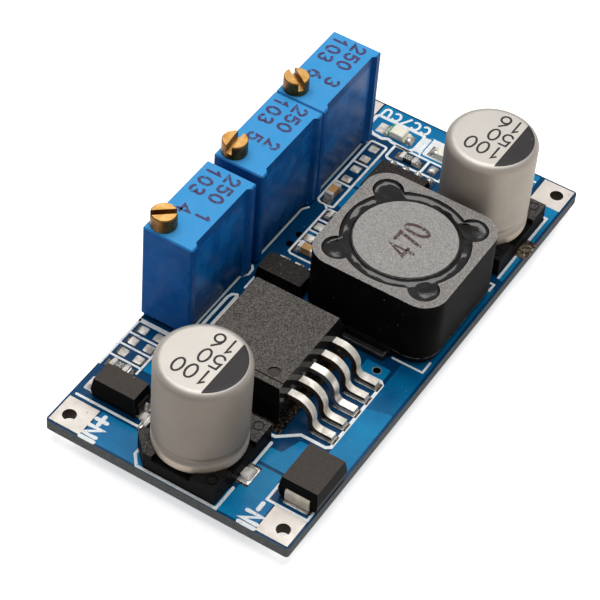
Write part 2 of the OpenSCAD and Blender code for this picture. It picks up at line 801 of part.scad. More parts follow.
// Ceramic plate that carries the resistive track
module trimmer_element() {
    color("white")
        translate([shoulder + element_fit, element_y, trimmer_floor + element_fit])
            cube([
                inner_l - 2 * element_fit,
                element_t,
                trimmer_h - trimmer_roof - trimmer_floor - 2 * element_fit
            ]);
}

// Three pins, each stepped back to a flat tab behind the ceramic
module trimmer_pins() {
    color("silver")
        for (k = [-1:1])
            translate([trimmer_l / 2 + k * trimmer_pin_pitch, 0, 0]) {
                translate([0, pin_row_y, -trimmer_z - trimmer_pin_reach])
                    cylinder(r = trimmer_pin_r, h = trimmer_z + trimmer_pin_reach + pin_bend_z);
                pin_tab();
            }
}

module pin_tab() {
    back_y = element_y - pin_tab_t;
    translate([-pin_tab_w / 2, back_y, pin_bend_z - pin_tab_t])
        cube([pin_tab_w, pin_row_y + trimmer_pin_r - back_y, pin_tab_t]);
    translate([-pin_tab_w / 2, back_y, pin_bend_z - pin_tab_t])
        cube([pin_tab_w, pin_tab_t, pin_tab_h]);
}

// Hard glossy filling behind the ceramic and round the pins
module trimmer_potting() {
    color("mediumblue")
        difference() {
            union() {
                translate([shoulder, trimmer_recess, potting_floor])
                    cube([
                        inner_l,
                        element_y - trimmer_recess,
                        trimmer_h - trimmer_roof - potting_floor
                    ]);
                translate([shoulder, trimmer_recess, potting_floor])
                    cube([
                        inner_l,
                        pin_row_y + trimmer_pin_r + element_fit - trimmer_recess,
                        trimmer_floor - potting_floor
                    ]);
            }
            trimmer_pins();
        }
}

// Solder in the plated holes and the cones under the board
module pin_solder() {
    color("silver")
        for (i = [0:2], k = [-1:1])
            translate([pin_x(i, k), trimmer_y + pin_row_y, 0])
                rotate_extrude()
                    polygon([
                        [trimmer_pin_r, board_t],
                        [trimmer_pin_hole_r, board_t],
                        [trimmer_pin_hole_r, 0],
                        [solder_cone_r, 0],
                        [solder_cone_r * 0.62, -solder_cone_h * 0.3],
                        [trimmer_pin_r + 0.08, -solder_cone_h],
                        [trimmer_pin_r, -solder_cone_h]
                    ]);
}

/* Electrolytic capacitors */

// Sealed aluminium can: curled foot, crimped groove and rounded top edge
module capacitor_can() {
    foot = can_base_floor;
    curl = can_curl_r;
    color("gainsboro")
        rotate_extrude($fn = 96) {
            difference() {
                union() {
                    translate([0, foot])
                        square([can_r - curl, curl]);
                    translate([0, foot + curl])
                        square([can_r, can_top - can_edge_r - foot - curl]);
                    translate([0, can_top - can_edge_r - eps])
                        square([can_r - can_edge_r, can_edge_r + eps]);
                }
                translate([can_r + can_groove_r - can_groove_d, foot + can_groove_h])
                    circle(can_groove_r);
            }
            translate([can_r - curl, foot + curl])
                intersection() {
                    circle(curl);
                    translate([0, -curl])
                        square(curl);
                }
            translate([can_r - can_edge_r, can_top - can_edge_r])
                intersection() {
                    circle(can_edge_r);
                    square(can_edge_r);
                }
        }
}

// Outline of the base: two corners cut off on its positive side
module base_outline() {
    h = can_base_side / 2;
    polygon([
        [-h, -h], [h, -h], [h, h - can_base_cut], [h - can_base_cut, h],
        [can_base_cut - h, h], [-h, h - can_base_cut]
    ]);
}

// Plastic base: a floor with grooves for the strips, and guards at its corners
module capacitor_base() {
    color("dimgray")
        difference() {
            union() {
                linear_extrude(can_base_floor)
                    base_outline();
                linear_extrude(can_base_floor + can_guard_h)
                    difference() {
                        base_outline();
                        circle(can_r + can_clear, $fn = 96);
                        square([can_base_side * 0.44, 2 * can_base_side], center = true);
                        square([2 * can_base_side, can_base_side * 0.44], center = true);
                    }
            }
            capacitor_strips();
            for (x = sides)
                translate([x * 3.35, -3.35, can_base_floor + can_guard_h - 0.08])
                    difference() {
                        cylinder(r = 0.5, h = 1);
                        cylinder(r = 0.38, h = 1);
                    }
        }
}

module capacitor_strips() {
    color("silver")
        for (y = sides)
            translate([-can_strip_w / 2, y > 0 ? 1 : -can_base_side / 2 - can_strip_reach, 0])
                cube([can_strip_w, can_base_side / 2 + can_strip_reach - 1, can_strip_t]);
}

/* Inductor */

// The shield's opening, with a round lobe towards each corner
module shield_opening(clear) {
    circle(shield_bore_r - clear, $fn = 96);
    for (x = sides, y = sides)
        translate([x * shield_lobe_offset, y * shield_lobe_offset])
            circle(shield_lobe_r - clear);
}

module inductor_shield() {
    color("gray")
        translate([0, 0, coil_base_t])
            linear_extrude(shield_top - coil_base_t)
                difference() {
                    rounded_rect(shield_l, shield_w, shield_corner_r);
                    shield_opening(0);
                }
}

// Ferrite drum: two flanges joined by a post
module inductor_drum() {
    color("darkgray")
        rotate_extrude($fn = 96)
            polygon([
                [0, coil_base_t], [drum_r, coil_base_t],
                [drum_r, coil_base_t + drum_flange_t],
                [drum_post_r, coil_base_t + drum_flange_t],
                [drum_post_r, shield_top - drum_flange_t],
                [drum_r, shield_top - drum_flange_t],
                [drum_r, shield_top - 0.1], [drum_r - 0.1, shield_top], [0, shield_top]
            ]);
}

// Copper winding round the post
module inductor_winding() {
    turns_z = coil_base_t + drum_flange_t;
    turns_h = shield_top - drum_flange_t - turns_z;
    rows = 4;
    wire_r = turns_h / rows / 2;
    color("peru")
        translate([0, 0, turns_z])
            rotate_extrude() {
                translate([drum_post_r, 0])
                    square([winding_r - wire_r - drum_post_r, turns_h]);
                for (i = [0:rows - 1])
                    translate([winding_r - wire_r, (2 * i + 1) * wire_r])
                        circle(wire_r - eps);
            }
}

// Dark glue that fills the top of the gap between drum and shield
module inductor_glue() {
    color("black")
        translate([0, 0, shield_top - glue_sink - glue_t])
            linear_extrude(glue_t)
                difference() {
                    shield_opening(0);
                    circle(drum_r, $fn = 96);
                }
}

// Plastic base with a lip at each end, which the terminals run under
module inductor_base() {
    color("black")
        difference() {
            union() {
                linear_extrude(coil_base_t)
                    rounded_rect(
                        shield_l - 2 * coil_base_inset,
                        shield_w - 2 * coil_base_inset,
                        shield_corner_r - coil_base_inset
                    );
                inductor_lips();
            }
            inductor_clips();
        }
}

// Outside the shield each lip rises over its lower edge, with its corners rounded
module inductor_lips() {
    corner_r = coil_lip_reach * 0.9;
    for (x = sides)
        scale([x, 1, 1]) {
            translate([shield_l / 2 - 2 * coil_base_inset, -coil_lip_l / 2, 0])
                cube([2 * coil_base_inset, coil_lip_l, coil_base_t]);
            translate([shield_l / 2, 0, 0])
                intersection() {
                    linear_extrude(coil_lip_h)
                        rounded_rect(2 * coil_lip_reach, coil_lip_l, corner_r);
                    translate([0, -coil_lip_l / 2, 0])
                        cube([coil_lip_reach, coil_lip_l, coil_lip_h]);
                }
        }
}

// Flat metal terminals under the base, out to the lips' faces
module inductor_clips() {
    color("silver")
        for (x = sides)
            scale([x, 1, 1])
                translate([coil_l / 2 - clip_l, -clip_w / 2, 0])
                    cube([clip_l, clip_w, clip_t]);
}

module coil_lands() {
    for (x = sides)
        translate([coil_x + x * (coil_l / 2 - 1), coil_y])
            square([3, clip_w + 0.6], center = true);
}

/* Regulator */

module regulator_body() {
    color("dimgray")
        difference() {
            moulded_body(regulator_l, regulator_w, regulator_h, regulator_parting,
                regulator_draft);
            regulator_tab();
            regulator_leads();
            regulator_step();
            translate([-3.4, -2.75, regulator_h - index_mark_d])
                cylinder(r = index_mark_r, h = 1);
        }
}

// Shallow moulded step along the input side of the body's top
module regulator_step() {
    step_w = 0.55;
    step_d = 0.12;
    high = regulator_l / 2 - (regulator_h - regulator_parting) * tan(regulator_draft);
    translate([-regulator_l, -regulator_w, regulator_h - step_d])
        cube([regulator_l - high + step_w, 2 * regulator_w, 1]);
}

// Copper tab: it shows behind the body and carries the middle lead
module regulator_tab() {
    inside = 2;
    color("silver") {
        translate([-regulator_tab_l / 2, -regulator_w / 2 + 0.7, 0])
            cube([regulator_tab_l, regulator_w - 0.7 + regulator_tab_reach, regulator_tab_t]);
        regulator_lead(0, inside);
        translate([-lead_w / 2, -regulator_w / 2 + inside - lead_t, 0])
            cube([lead_w, lead_t, regulator_parting + lead_exit]);
    }
}

module regulator_leads() {
    color("silver")
        for (k = [-2, -1, 1, 2])
            regulator_lead(k, 0.9);
}

// Lead k of the regulator, which starts a little inside the body
module regulator_lead(k, inside) {
    translate([k * lead_pitch, -regulator_w / 2 + inside, 0])
        rotate(-90)
            strip(lead_w)
                gull_section(lead_reach + inside, regulator_parting + lead_exit, lead_foot,
                    lead_knee_r, lead_heel_r, lead_t);
}

module regulator_lands() {
    translate(regulator_at) {
        translate([0, regulator_tab_reach / 2 + 0.2])
            square([regulator_l + 0.7, regulator_w + regulator_tab_reach], center = true);
        for (k = [-2:2])
            translate([k * lead_pitch, -regulator_w / 2 - lead_reach + lead_foot / 2 - 0.05])
                square([lead_w + 0.25, lead_foot + 0.5], center = true);
    }
}

/* Small regulator */

module small_regulator_body() {
    color("dimgray")
        difference() {
            rotate(90)
                moulded_body(small_reg_l, small_reg_w, small_reg_h, small_reg_lead_t);
            small_regulator_tab();
            small_regulator_leads();
        }
}

module small_regulator_tab() {
    color("silver")
        translate([-small_reg_w / 2 - small_reg_tab_reach, -small_reg_tab_w / 2, 0])
            cube([small_reg_w / 2 + small_reg_tab_reach, small_reg_tab_w, small_reg_lead_t]);
}

module small_regulator_leads() {
    inside = 0.4;
    color("silver")
        for (k = [-1:1])
            translate([
                small_reg_w / 2 - inside,
                k * small_reg_pitch - small_reg_lead_w / 2,
                0
            ])
                cube([small_reg_lead_reach + inside, small_reg_lead_w, small_reg_lead_t]);
}

module small_regulator_lands() {
    translate(small_reg_at) {
        translate([-small_reg_w / 2 - small_reg_tab_reach / 2 + 0.1, 0])
            square([small_reg_tab_reach + 1, small_reg_tab_w + 0.5], center = true);
        for (k = [-1:1])
            translate([small_reg_w / 2 + small_reg_lead_reach / 2 + 0.1, k * small_reg_pitch])
                square([small_reg_lead_reach + 0.5, small_reg_lead_w + 0.3], center = true);
    }
}

/* Amplifier */

module amplifier_body() {
    color("dimgray")
        difference() {
            translate([0, 0, amp_stand])
                moulded_body(amp_w, amp_l, amp_h - amp_stand, amp_parting - amp_stand);
            amplifier_leads();
            translate([-amp_w / 2 + 0.8, amp_l / 2 - 0.8, amp_h - index_mark_d])
                cylinder(r = index_mark_r / 2, h = 1);
        }
}

module amplifier_leads() {
    inside = 0.3;
    bend_r = amp_lead_t * 1.5;
    color("silver")
        for (x = sides, k = [-1.5:1.5])
            scale([x, 1, 1])
                translate([amp_w / 2 - inside, k * amp_pitch, 0])
                    strip(amp_lead_w)
                        gull_section(amp_lead_reach + inside, amp_parting, amp_lead_foot,
                            bend_r, bend_r, amp_lead_t);
}

module amplifier_lands() {
    for (x = sides, k = [-1.5:1.5])
        translate([amp_at[0] + x * (amp_w / 2 + amp_lead_reach - 0.1), amp_at[1] + k * amp_pitch])
            square([amp_lead_foot + 0.75, amp_lead_w + 0.2], center = true);
}

/* Diodes */

module diode_body(l, w, h) {
    color("dimgray")
        difference() {
            translate([0, 0, diode_stand])
                moulded_body(l, w, h - diode_stand, h * diode_parting, diode_draft);
            diode_strips(l, w, h);
        }
}

// Flat strips that leave the ends at mid-height and fold under the body
module diode_strips(l, w, h) {
    inside = 0.4;
    color("silver")
        for (x = sides)
            scale([x, 1, 1])
                translate([l / 2 - inside, 0, 0])
                    strip(w * 0.6)
                        fold_section(diode_reach + inside, h / 2 + diode_strip_t, diode_foot,
                            diode_strip_t * 1.75, diode_strip_t);
}

module diode_lands(place, l, w, angle) {
    translate(place)
        rotate(angle)
            for (x = sides)
                translate([x * (l / 2 + diode_reach - diode_foot / 2 - 0.1), 0])
                    square([diode_foot + 0.4, w * 0.7 + 0.2], center = true);
}

/* Chips */

module chip_body(h) {
    translate([0, 0, h / 2])
        cube([chip_l - 2 * chip_end_t, chip_w - 2 * chip_end_t, h - 2 * chip_end_t],
            center = true);
}

// Metal end caps folded round the ceramic
module chip_ends(h) {
    for (x = sides)
        difference() {
            translate([x * (chip_l - chip_end) / 2, 0, h / 2])
                cube([chip_end, chip_w, h], center = true);
            chip_body(h);
        }
}

module chip_resistor_bodies() {
    color("black")
        for (place = CHIP_RESISTORS)
            at(place, land_z)
                chip_body(chip_resistor_h);
}

module chip_resistor_ends() {
    color("silver")
        for (place = CHIP_RESISTORS)
            at(place, land_z)
                chip_ends(chip_resistor_h);
}

module chip_capacitor_bodies() {
    color("tan")
        for (place = CHIP_CAPACITORS)
            at(place, land_z)
                chip_body(chip_cap_h);
}

module chip_capacitor_ends() {
    color("silver")
        for (place = CHIP_CAPACITORS)
            at(place, land_z)
                chip_ends(chip_cap_h);
}

// Green carrier of each light
module led_carriers() {
    color("mediumseagreen")
        for (place = LEDS)
            at(place, land_z)
                translate([0, 0, led_carrier_t / 2])
                    cube([led_l, led_w, led_carrier_t], center = true);
}

// Clear lens of each light, shorter than its carrier
module led_lenses() {
    color("lightyellow")
        for (place = LEDS)
            at(place, land_z + led_carrier_t)
                moulded_body(led_lens_l, led_w, led_lens_h, 0);
}

/* Nodes */

board();
terminal_pads();
solder_lands();
pin_solder();

for (i = [0:2]) {
    at_trimmer(i) trimmer_housing();
    at_trimmer(i) trimmer_screw(screw_slot_angles[i]);
    at_trimmer(i) trimmer_seal();
    at_trimmer(i) trimmer_rotor();
    at_trimmer(i) trimmer_wiper();
    at_trimmer(i) trimmer_element();
    at_trimmer(i) trimmer_pins();
    at_trimmer(i) trimmer_potting();
}

at(input_can_at, land_z) capacitor_can();  // input_capacitor_can
at(input_can_at, land_z) capacitor_base();  // input_capacitor_base
at(input_can_at, land_z) capacitor_strips();  // input_capacitor_strips
at(output_can_at, land_z) capacitor_can();  // output_capacitor_can
at(output_can_at, land_z) capacitor_base();  // output_capacitor_base
at(output_can_at, land_z) capacitor_strips();  // output_capacitor_strips

at(coil_at, land_z) inductor_shield();
at(coil_at, land_z) inductor_drum();
at(coil_at, land_z) inductor_winding();
at(coil_at, land_z) inductor_glue();
at(coil_at, land_z) inductor_base();
at(coil_at, land_z) inductor_clips();

at(regulator_at, land_z) regulator_body();
at(regulator_at, land_z) regulator_tab();
at(regulator_at, land_z) regulator_leads();
at(small_reg_at, land_z) small_regulator_body();
at(small_reg_at, land_z) small_regulator_tab();
at(small_reg_at, land_z) small_regulator_leads();
at(amp_at, land_z) amplifier_body();
at(amp_at, land_z) amplifier_leads();

at(input_diode_at, land_z) rotate(90) diode_body(input_diode_l, input_diode_w, input_diode_h);  // input_diode_body
at(input_diode_at, land_z) rotate(90) diode_strips(input_diode_l, input_diode_w, input_diode_h);  // input_diode_strips
at(catch_diode_at, land_z) diode_body(catch_diode_l, catch_diode_w, catch_diode_h);  // catch_diode_body
at(catch_diode_at, land_z) diode_strips(catch_diode_l, catch_diode_w, catch_diode_h);  // catch_diode_strips

chip_resistor_bodies();
chip_resistor_ends();
chip_capacitor_bodies();
chip_capacitor_ends();
led_carriers();
led_lenses();
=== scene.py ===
# %% [markdown]
# A step-down converter module: a small blue circuit board with three tall trimmers, a black
# regulator, a shielded coil, two capacitor cans and a scatter of chips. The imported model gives
# every solid in its right place, so this lesson adds what a solid model leaves out: printed ink,
# solder, glue, and a finish for every surface. The frame is loaded first and never moved.

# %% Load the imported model
import math
import random

import bpy
from mathutils import Matrix, Vector, geometry, noise


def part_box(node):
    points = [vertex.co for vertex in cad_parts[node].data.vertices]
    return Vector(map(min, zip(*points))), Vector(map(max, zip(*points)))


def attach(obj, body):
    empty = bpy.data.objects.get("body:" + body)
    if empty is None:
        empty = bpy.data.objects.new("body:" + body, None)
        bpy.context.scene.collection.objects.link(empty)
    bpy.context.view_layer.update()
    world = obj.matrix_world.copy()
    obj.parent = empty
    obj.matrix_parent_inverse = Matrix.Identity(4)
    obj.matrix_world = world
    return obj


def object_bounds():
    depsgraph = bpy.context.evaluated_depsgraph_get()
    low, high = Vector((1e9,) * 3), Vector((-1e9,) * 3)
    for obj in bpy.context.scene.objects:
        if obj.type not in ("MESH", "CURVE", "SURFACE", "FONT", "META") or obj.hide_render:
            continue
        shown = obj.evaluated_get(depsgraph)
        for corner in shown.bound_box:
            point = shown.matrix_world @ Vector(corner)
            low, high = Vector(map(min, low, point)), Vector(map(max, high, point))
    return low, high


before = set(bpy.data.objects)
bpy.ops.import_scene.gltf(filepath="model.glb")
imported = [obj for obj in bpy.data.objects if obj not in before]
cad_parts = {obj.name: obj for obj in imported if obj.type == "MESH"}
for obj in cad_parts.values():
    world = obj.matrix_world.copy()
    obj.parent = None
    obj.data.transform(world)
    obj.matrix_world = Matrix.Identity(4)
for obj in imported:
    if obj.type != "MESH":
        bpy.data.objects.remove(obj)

MM = 0.001


def box_mm(node_name):
    return [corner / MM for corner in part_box(node_name)]


cad_box = [list(corner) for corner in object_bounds()]
print("CAD box in mm:", [[round(v / MM, 2) for v in corner] for corner in cad_box])

# %% [markdown]
# The camera comes early, because everything is judged through it. It stands off the input end,
# half way up the sky, with a long lens that keeps the board's long sides nearly parallel. The
# board's own axes are the reference: an azimuth, an elevation and a small roll give the
# direction, and a shift across the view puts the board a little off centre, as a hand-held
# camera does.

# %% Place the camera
VIEW_AZIMUTH = math.radians(-61.631)
VIEW_ELEVATION = math.radians(46.943)
VIEW_ROLL = math.radians(5.086)
VIEW_DISTANCE = 212.421
VIEW_ASIDE = (2.081, -0.024)
VIEW_LENS = 151.48
BOARD_TOP = box_mm("board")[1].z


def add_camera():
    back = Vector((math.sin(VIEW_AZIMUTH) * math.cos(VIEW_ELEVATION),
                   -math.cos(VIEW_AZIMUTH) * math.cos(VIEW_ELEVATION),
                   math.sin(VIEW_ELEVATION)))
    level = Vector((0, 0, 1)).cross(back).normalized()
    upright = back.cross(level)
    right = level * math.cos(VIEW_ROLL) + upright * math.sin(VIEW_ROLL)
    up = -level * math.sin(VIEW_ROLL) + upright * math.cos(VIEW_ROLL)
    place = back * VIEW_DISTANCE - right * VIEW_ASIDE[0] - up * VIEW_ASIDE[1]
    place.z += BOARD_TOP
    data = bpy.data.cameras.new("camera")
    data.sensor_width = 36
    data.lens = VIEW_LENS
    data.clip_start, data.clip_end = 0.01, 20
    camera = bpy.data.objects.new("camera", data)
    turn = Matrix((right, up, back)).transposed().to_4x4()
    camera.matrix_world = Matrix.Translation(place * MM) @ turn
    bpy.context.scene.collection.objects.link(camera)
    bpy.context.scene.camera = camera
    return camera


camera = add_camera()
print("camera at", [round(v, 3) for v in camera.location], "m")

# %% [markdown]
# Light and finishes are both wired from nodes, and a few moves come back in every tree: place
# a node, do a sum, stretch a range, read a coordinate. They are written once, here.

# %% First helpers for node trees
def node(tree, kind, inputs=None, **settings):
    made = tree.nodes.new(kind)
    for name, value in settings.items():
        setattr(made, name, value)
    for name, value in (inputs or {}).items():
        if isinstance(value, bpy.types.NodeSocket):
            tree.links.new(value, made.inputs[name])
        else:
            made.inputs[name].default_value = value
    return made


def maths(tree, operation, first, second=0.0):
    made = node(tree, "ShaderNodeMath", {0: first, 1: second}, operation=operation)
    return made.outputs[0]


def span(tree, value, low, high, start=0.0, end=1.0):
    made = node(tree, "ShaderNodeMapRange", {
        "Value": value, "From Min": low, "From Max": high, "To Min": start, "To Max": end})
    return made.outputs[0]


def coordinates(tree, kind):
    place = node(tree, "ShaderNodeTexCoord")
    return node(tree, "ShaderNodeSeparateXYZ", {0: place.outputs[kind]}).outputs


print("helpers: node, maths, span, coordinates")

# %% [markdown]
# Studio light for small shiny things is mostly large, soft and overhead. One big panel hangs
# above the board and leans a little away from the camera, so that its image lies just beyond
# what a level surface mirrors: varnish and glue stay deep in colour, and every tilted rim
# catches a bright line. The world is a dim dome with a white horizon, and fills the shadows;
# the camera itself sees it white.

# %% Light the board
SKY_STRENGTH = (0.26, 0.42)
HORIZON_BAND = (0.03, 0.16)
PANEL_WAY, PANEL_DISTANCE, PANEL_SIDE = (0.22, 0.12, 1.0), 0.5, 0.46


def add_dome():
    world = bpy.data.worlds.new("dome")
    world.use_nodes = True
    tree = world.node_tree
    tree.nodes.clear()
    up = coordinates(tree, "Generated")["Z"]
    sky = span(tree, up, 0.2, 0.95, *SKY_STRENGTH)
    horizon = node(tree, "ShaderNodeMapRange", {
        "Value": up, "From Min": HORIZON_BAND[0], "From Max": HORIZON_BAND[1],
        "To Min": 1.0, "To Max": 0.0}, interpolation_type="SMOOTHSTEP")
    path = node(tree, "ShaderNodeLightPath")
    strength = maths(tree, "MAXIMUM", sky, horizon.outputs[0])
    strength = maths(tree, "MAXIMUM", strength, path.outputs["Is Camera Ray"])
    soft = node(tree, "ShaderNodeBackground", {"Color": (1, 1, 1, 1), "Strength": strength})
    node(tree, "ShaderNodeOutputWorld", {"Surface": soft.outputs[0]})
    bpy.context.scene.world = world


def add_panel():
    data = bpy.data.lights.new("top_panel", "AREA")
    data.shape = "RECTANGLE"
    data.size = data.size_y = PANEL_SIDE
    data.energy = 2.3
    data.color = (1.0, 0.985, 0.965)
    lamp = bpy.data.objects.new("top_panel", data)
    way = Vector(PANEL_WAY).normalized()
    lamp.location = way * PANEL_DISTANCE
    lamp.rotation_mode = "QUATERNION"
    lamp.rotation_quaternion = way.to_track_quat("Z", "Y")
    bpy.context.scene.collection.objects.link(lamp)


add_dome()
add_panel()
bpy.context.scene.view_settings.view_transform = "Standard"

# %% [markdown]
# The board stands on the trimmer pins that come through it. The floor is a wide disc at their
# tips. It is painted white, and the eye and any shiny metal see it a little brighter than it
# is lit, so that it meets the white beyond it while the soft shadow under the board stays.

# %% Lay the floor
FLOOR_GLOW = 0.6


def add_floor():
    rings, sides, radius = 6, 64, 3.0
    level = cad_box[0][2]
    verts = [(0, 0, level)]
    for ring in range(1, rings + 1):
        r = radius * (ring / rings) ** 2
        for s in range(sides):
            a = 2 * math.pi * s / sides
            verts.append((r * math.cos(a), r * math.sin(a), level))
    faces = [(0, 1 + s, 1 + (s + 1) % sides) for s in range(sides)]
    for ring in range(rings - 1):
        base = 1 + ring * sides
        for s in range(sides):
            t = (s + 1) % sides
            faces.append((base + s, base + sides + s, base + sides + t, base + t))
    mesh = bpy.data.meshes.new("floor")
    mesh.from_pydata(verts, [], faces)
    floor = bpy.data.objects.new("floor", mesh)
    bpy.context.scene.collection.objects.link(floor)

    paint = bpy.data.materials.new("floor_white")
    paint.use_nodes = True
    tree = paint.node_tree
    tree.nodes.clear()
    path = node(tree, "ShaderNodeLightPath")
    seen = maths(tree, "MAXIMUM", path.outputs["Is Camera Ray"], path.outputs["Is Glossy Ray"])
    seen = maths(tree, "MAXIMUM", seen, path.outputs["Is Transmission Ray"])
    glow = maths(tree, "MULTIPLY", seen, FLOOR_GLOW)
    shader = node(tree, "ShaderNodeBsdfPrincipled", {
        "Base Color": (0.78, 0.78, 0.78, 1), "Roughness": 0.9,
        "Emission Color": (1, 1, 1, 1), "Emission Strength": glow})
    shader.inputs["Specular IOR Level"].default_value = 0.0
    node(tree, "ShaderNodeOutputMaterial", {"Surface": shader.outputs[0]})
    mesh.materials.append(paint)


add_floor()
print("floor at", round(cad_box[0][2] / MM, 2), "mm")

# %% [markdown]
# Six effects come back on many of these surfaces, so each is built once as a node group with
# named inputs, and every material places it with its own values. They work in the space of
# the part itself, in millimetres, so a grain keeps its size wherever it is used and moves with
# a part that turns. The groups only give masks, heights and colours; the shader stays in the
# material.

# %% More helpers for node trees
def blend(tree, factor, under, over):
    made = node(tree, "ShaderNodeMix", data_type="RGBA")
    for index, value in ((0, factor), (6, under), (7, over)):
        if isinstance(value, bpy.types.NodeSocket):
            tree.links.new(value, made.inputs[index])
        else:
            made.inputs[index].default_value = value
    return made.outputs[2]


def tint(tree, under, tone, mask, strength):
    return blend(tree, maths(tree, "MULTIPLY", mask, strength), under, tone)


def millimetres(tree):
    place = node(tree, "ShaderNodeTexCoord")
    scaled = node(tree, "ShaderNodeVectorMath", {0: place.outputs["Object"]}, operation="SCALE")
    scaled.inputs["Scale"].default_value = 1 / MM
    return scaled.outputs[0]


def height_mm(tree):
    return node(tree, "ShaderNodeSeparateXYZ", {0: millimetres(tree)}).outputs["Z"]


def facing(tree, axis):
    return maths(tree, "ABSOLUTE", coordinates(tree, "Normal")[axis])


def new_group(name, inputs, outputs):
    group = bpy.data.node_groups.new(name, "ShaderNodeTree")
    print("node group", name)
    for label, value in inputs.items():
        socket = group.interface.new_socket(label, in_out="INPUT", socket_type="NodeSocketFloat")
        socket.default_value = value
    for label, kind in outputs.items():
        group.interface.new_socket(label, in_out="OUTPUT", socket_type="NodeSocket" + kind)
    return group, node(group, "NodeGroupInput").outputs, node(group, "NodeGroupOutput").inputs


def use(tree, group, **values):
    made = node(tree, "ShaderNodeGroup", node_tree=group)
    for label, value in values.items():
        made.inputs[label.replace("_", " ")].default_value = value
    return made.outputs


# %% [markdown]
# Grain is what a spark-eroded mould or a ground ceramic shows: a fine, uneven bump. Smooth
# noise alone looks like orange peel and cells alone look like gravel, so the group mixes the
# two by a sharpness.

# %% Grain, for mouldings, ferrite and cast resin
def grain_group():
    group, given, out = new_group("grain", {"Size": 0.1, "Sharpness": 0.5},
                                  {"Mask": "Float", "Height": "Float"})
    place = millimetres(group)
    scale = maths(group, "DIVIDE", 1.0, given["Size"])
    fine = node(group, "ShaderNodeTexNoise", {"Vector": place, "Scale": scale, "Detail": 3.0,
                                              "Roughness": 0.7})
    cells = node(group, "ShaderNodeTexVoronoi", {"Vector": place, "Scale": scale})
    shade = node(group, "ShaderNodeSeparateColor", {0: cells.outputs["Color"]})
    both = node(group, "ShaderNodeMix", data_type="FLOAT")
    group.links.new(given["Sharpness"], both.inputs[0])
    group.links.new(fine.outputs[0], both.inputs[2])
    group.links.new(shade.outputs[0], both.inputs[3])
    group.links.new(both.outputs[0], out["Mask"])
    group.links.new(fine.outputs[0], out["Height"])
    return group


GRAIN = grain_group()

# %% [markdown]
# No real surface has one tone from end to end. Mottle is a slow cloud around a half, whose
# contrast each material sets, and it drives colour and gloss alike.

# %% Mottle, for slow changes of tone and gloss
def mottle_group():
    group, given, out = new_group("mottle", {"Size": 3.0, "Contrast": 1.0}, {"Mask": "Float"})
    scale = maths(group, "DIVIDE", 1.0, given["Size"])
    cloud = node(group, "ShaderNodeTexNoise", {"Vector": millimetres(group), "Scale": scale,
                                               "Detail": 4.0, "Distortion": 0.4})
    centred = maths(group, "SUBTRACT", cloud.outputs[0], 0.5)
    spread = maths(group, "MULTIPLY", centred, given["Contrast"])
    lifted = node(group, "ShaderNodeMath", {0: spread, 1: 0.5}, operation="ADD", use_clamp=True)
    group.links.new(lifted.outputs[0], out["Mask"])
    return group


MOTTLE = mottle_group()

# %% [markdown]
# Dust lies in separate dots of many sizes. A cell pattern gives one dot to a cell, a share of
# the cells is picked at random, and a little noise bends each outline.

# %% Specks, for dust and tiny chips
def specks_group():
    group, given, out = new_group("specks", {"Spacing": 1.0, "Size": 0.06, "Share": 0.5},
                                  {"Mask": "Float"})
    place = millimetres(group)
    scale = maths(group, "DIVIDE", 1.0, given["Spacing"])
    cells = node(group, "ShaderNodeTexVoronoi", {"Vector": place, "Scale": scale})
    pick = node(group, "ShaderNodeSeparateColor", {0: cells.outputs["Color"]})
    chosen = maths(group, "LESS_THAN", pick.outputs[0], given["Share"])
    bend = node(group, "ShaderNodeTexNoise", {"Vector": place, "Scale": 9.0})
    far = maths(group, "MULTIPLY", cells.outputs["Distance"], given["Spacing"])
    far = maths(group, "MULTIPLY", far, span(group, bend.outputs[0], 0.3, 0.7, 0.6, 1.6))
    reach = maths(group, "MULTIPLY", given["Size"],
                  span(group, pick.outputs[1], 0.0, 1.0, 0.35, 1.0))
    inside = maths(group, "LESS_THAN", far, reach)
    both = maths(group, "MULTIPLY", inside, chosen)
    group.links.new(both, out["Mask"])
    return group


SPECKS = specks_group()

# %% [markdown]
# Wiping, drawing and turning leave marks in one direction. Noise that is squeezed differently
# along X, Y and Z makes them without any drawn line.

# %% Scuffs, for fine scratches in one direction
def scuffs_group():
    group, given, out = new_group("scuffs", {"Along X": 1.0, "Along Y": 1.0, "Along Z": 1.0,
                                             "Share": 0.3}, {"Mask": "Float"})
    squeeze = node(group, "ShaderNodeCombineXYZ", {0: given["Along X"], 1: given["Along Y"],
                                                   2: given["Along Z"]})
    place = node(group, "ShaderNodeVectorMath", {0: millimetres(group), 1: squeeze.outputs[0]},
                 operation="MULTIPLY")
    lines = node(group, "ShaderNodeTexNoise", {"Vector": place.outputs[0], "Scale": 1.0,
                                               "Detail": 5.0, "Roughness": 0.65})
    edge = maths(group, "SUBTRACT", 1.0, given["Share"])
    above = maths(group, "SUBTRACT", lines.outputs[0], maths(group, "MULTIPLY", edge, 0.72))
    mask = node(group, "ShaderNodeMath", {0: above, 1: 6.0}, operation="MULTIPLY", use_clamp=True)
    group.links.new(mask.outputs[0], out["Mask"])
    return group


SCUFFS = scuffs_group()
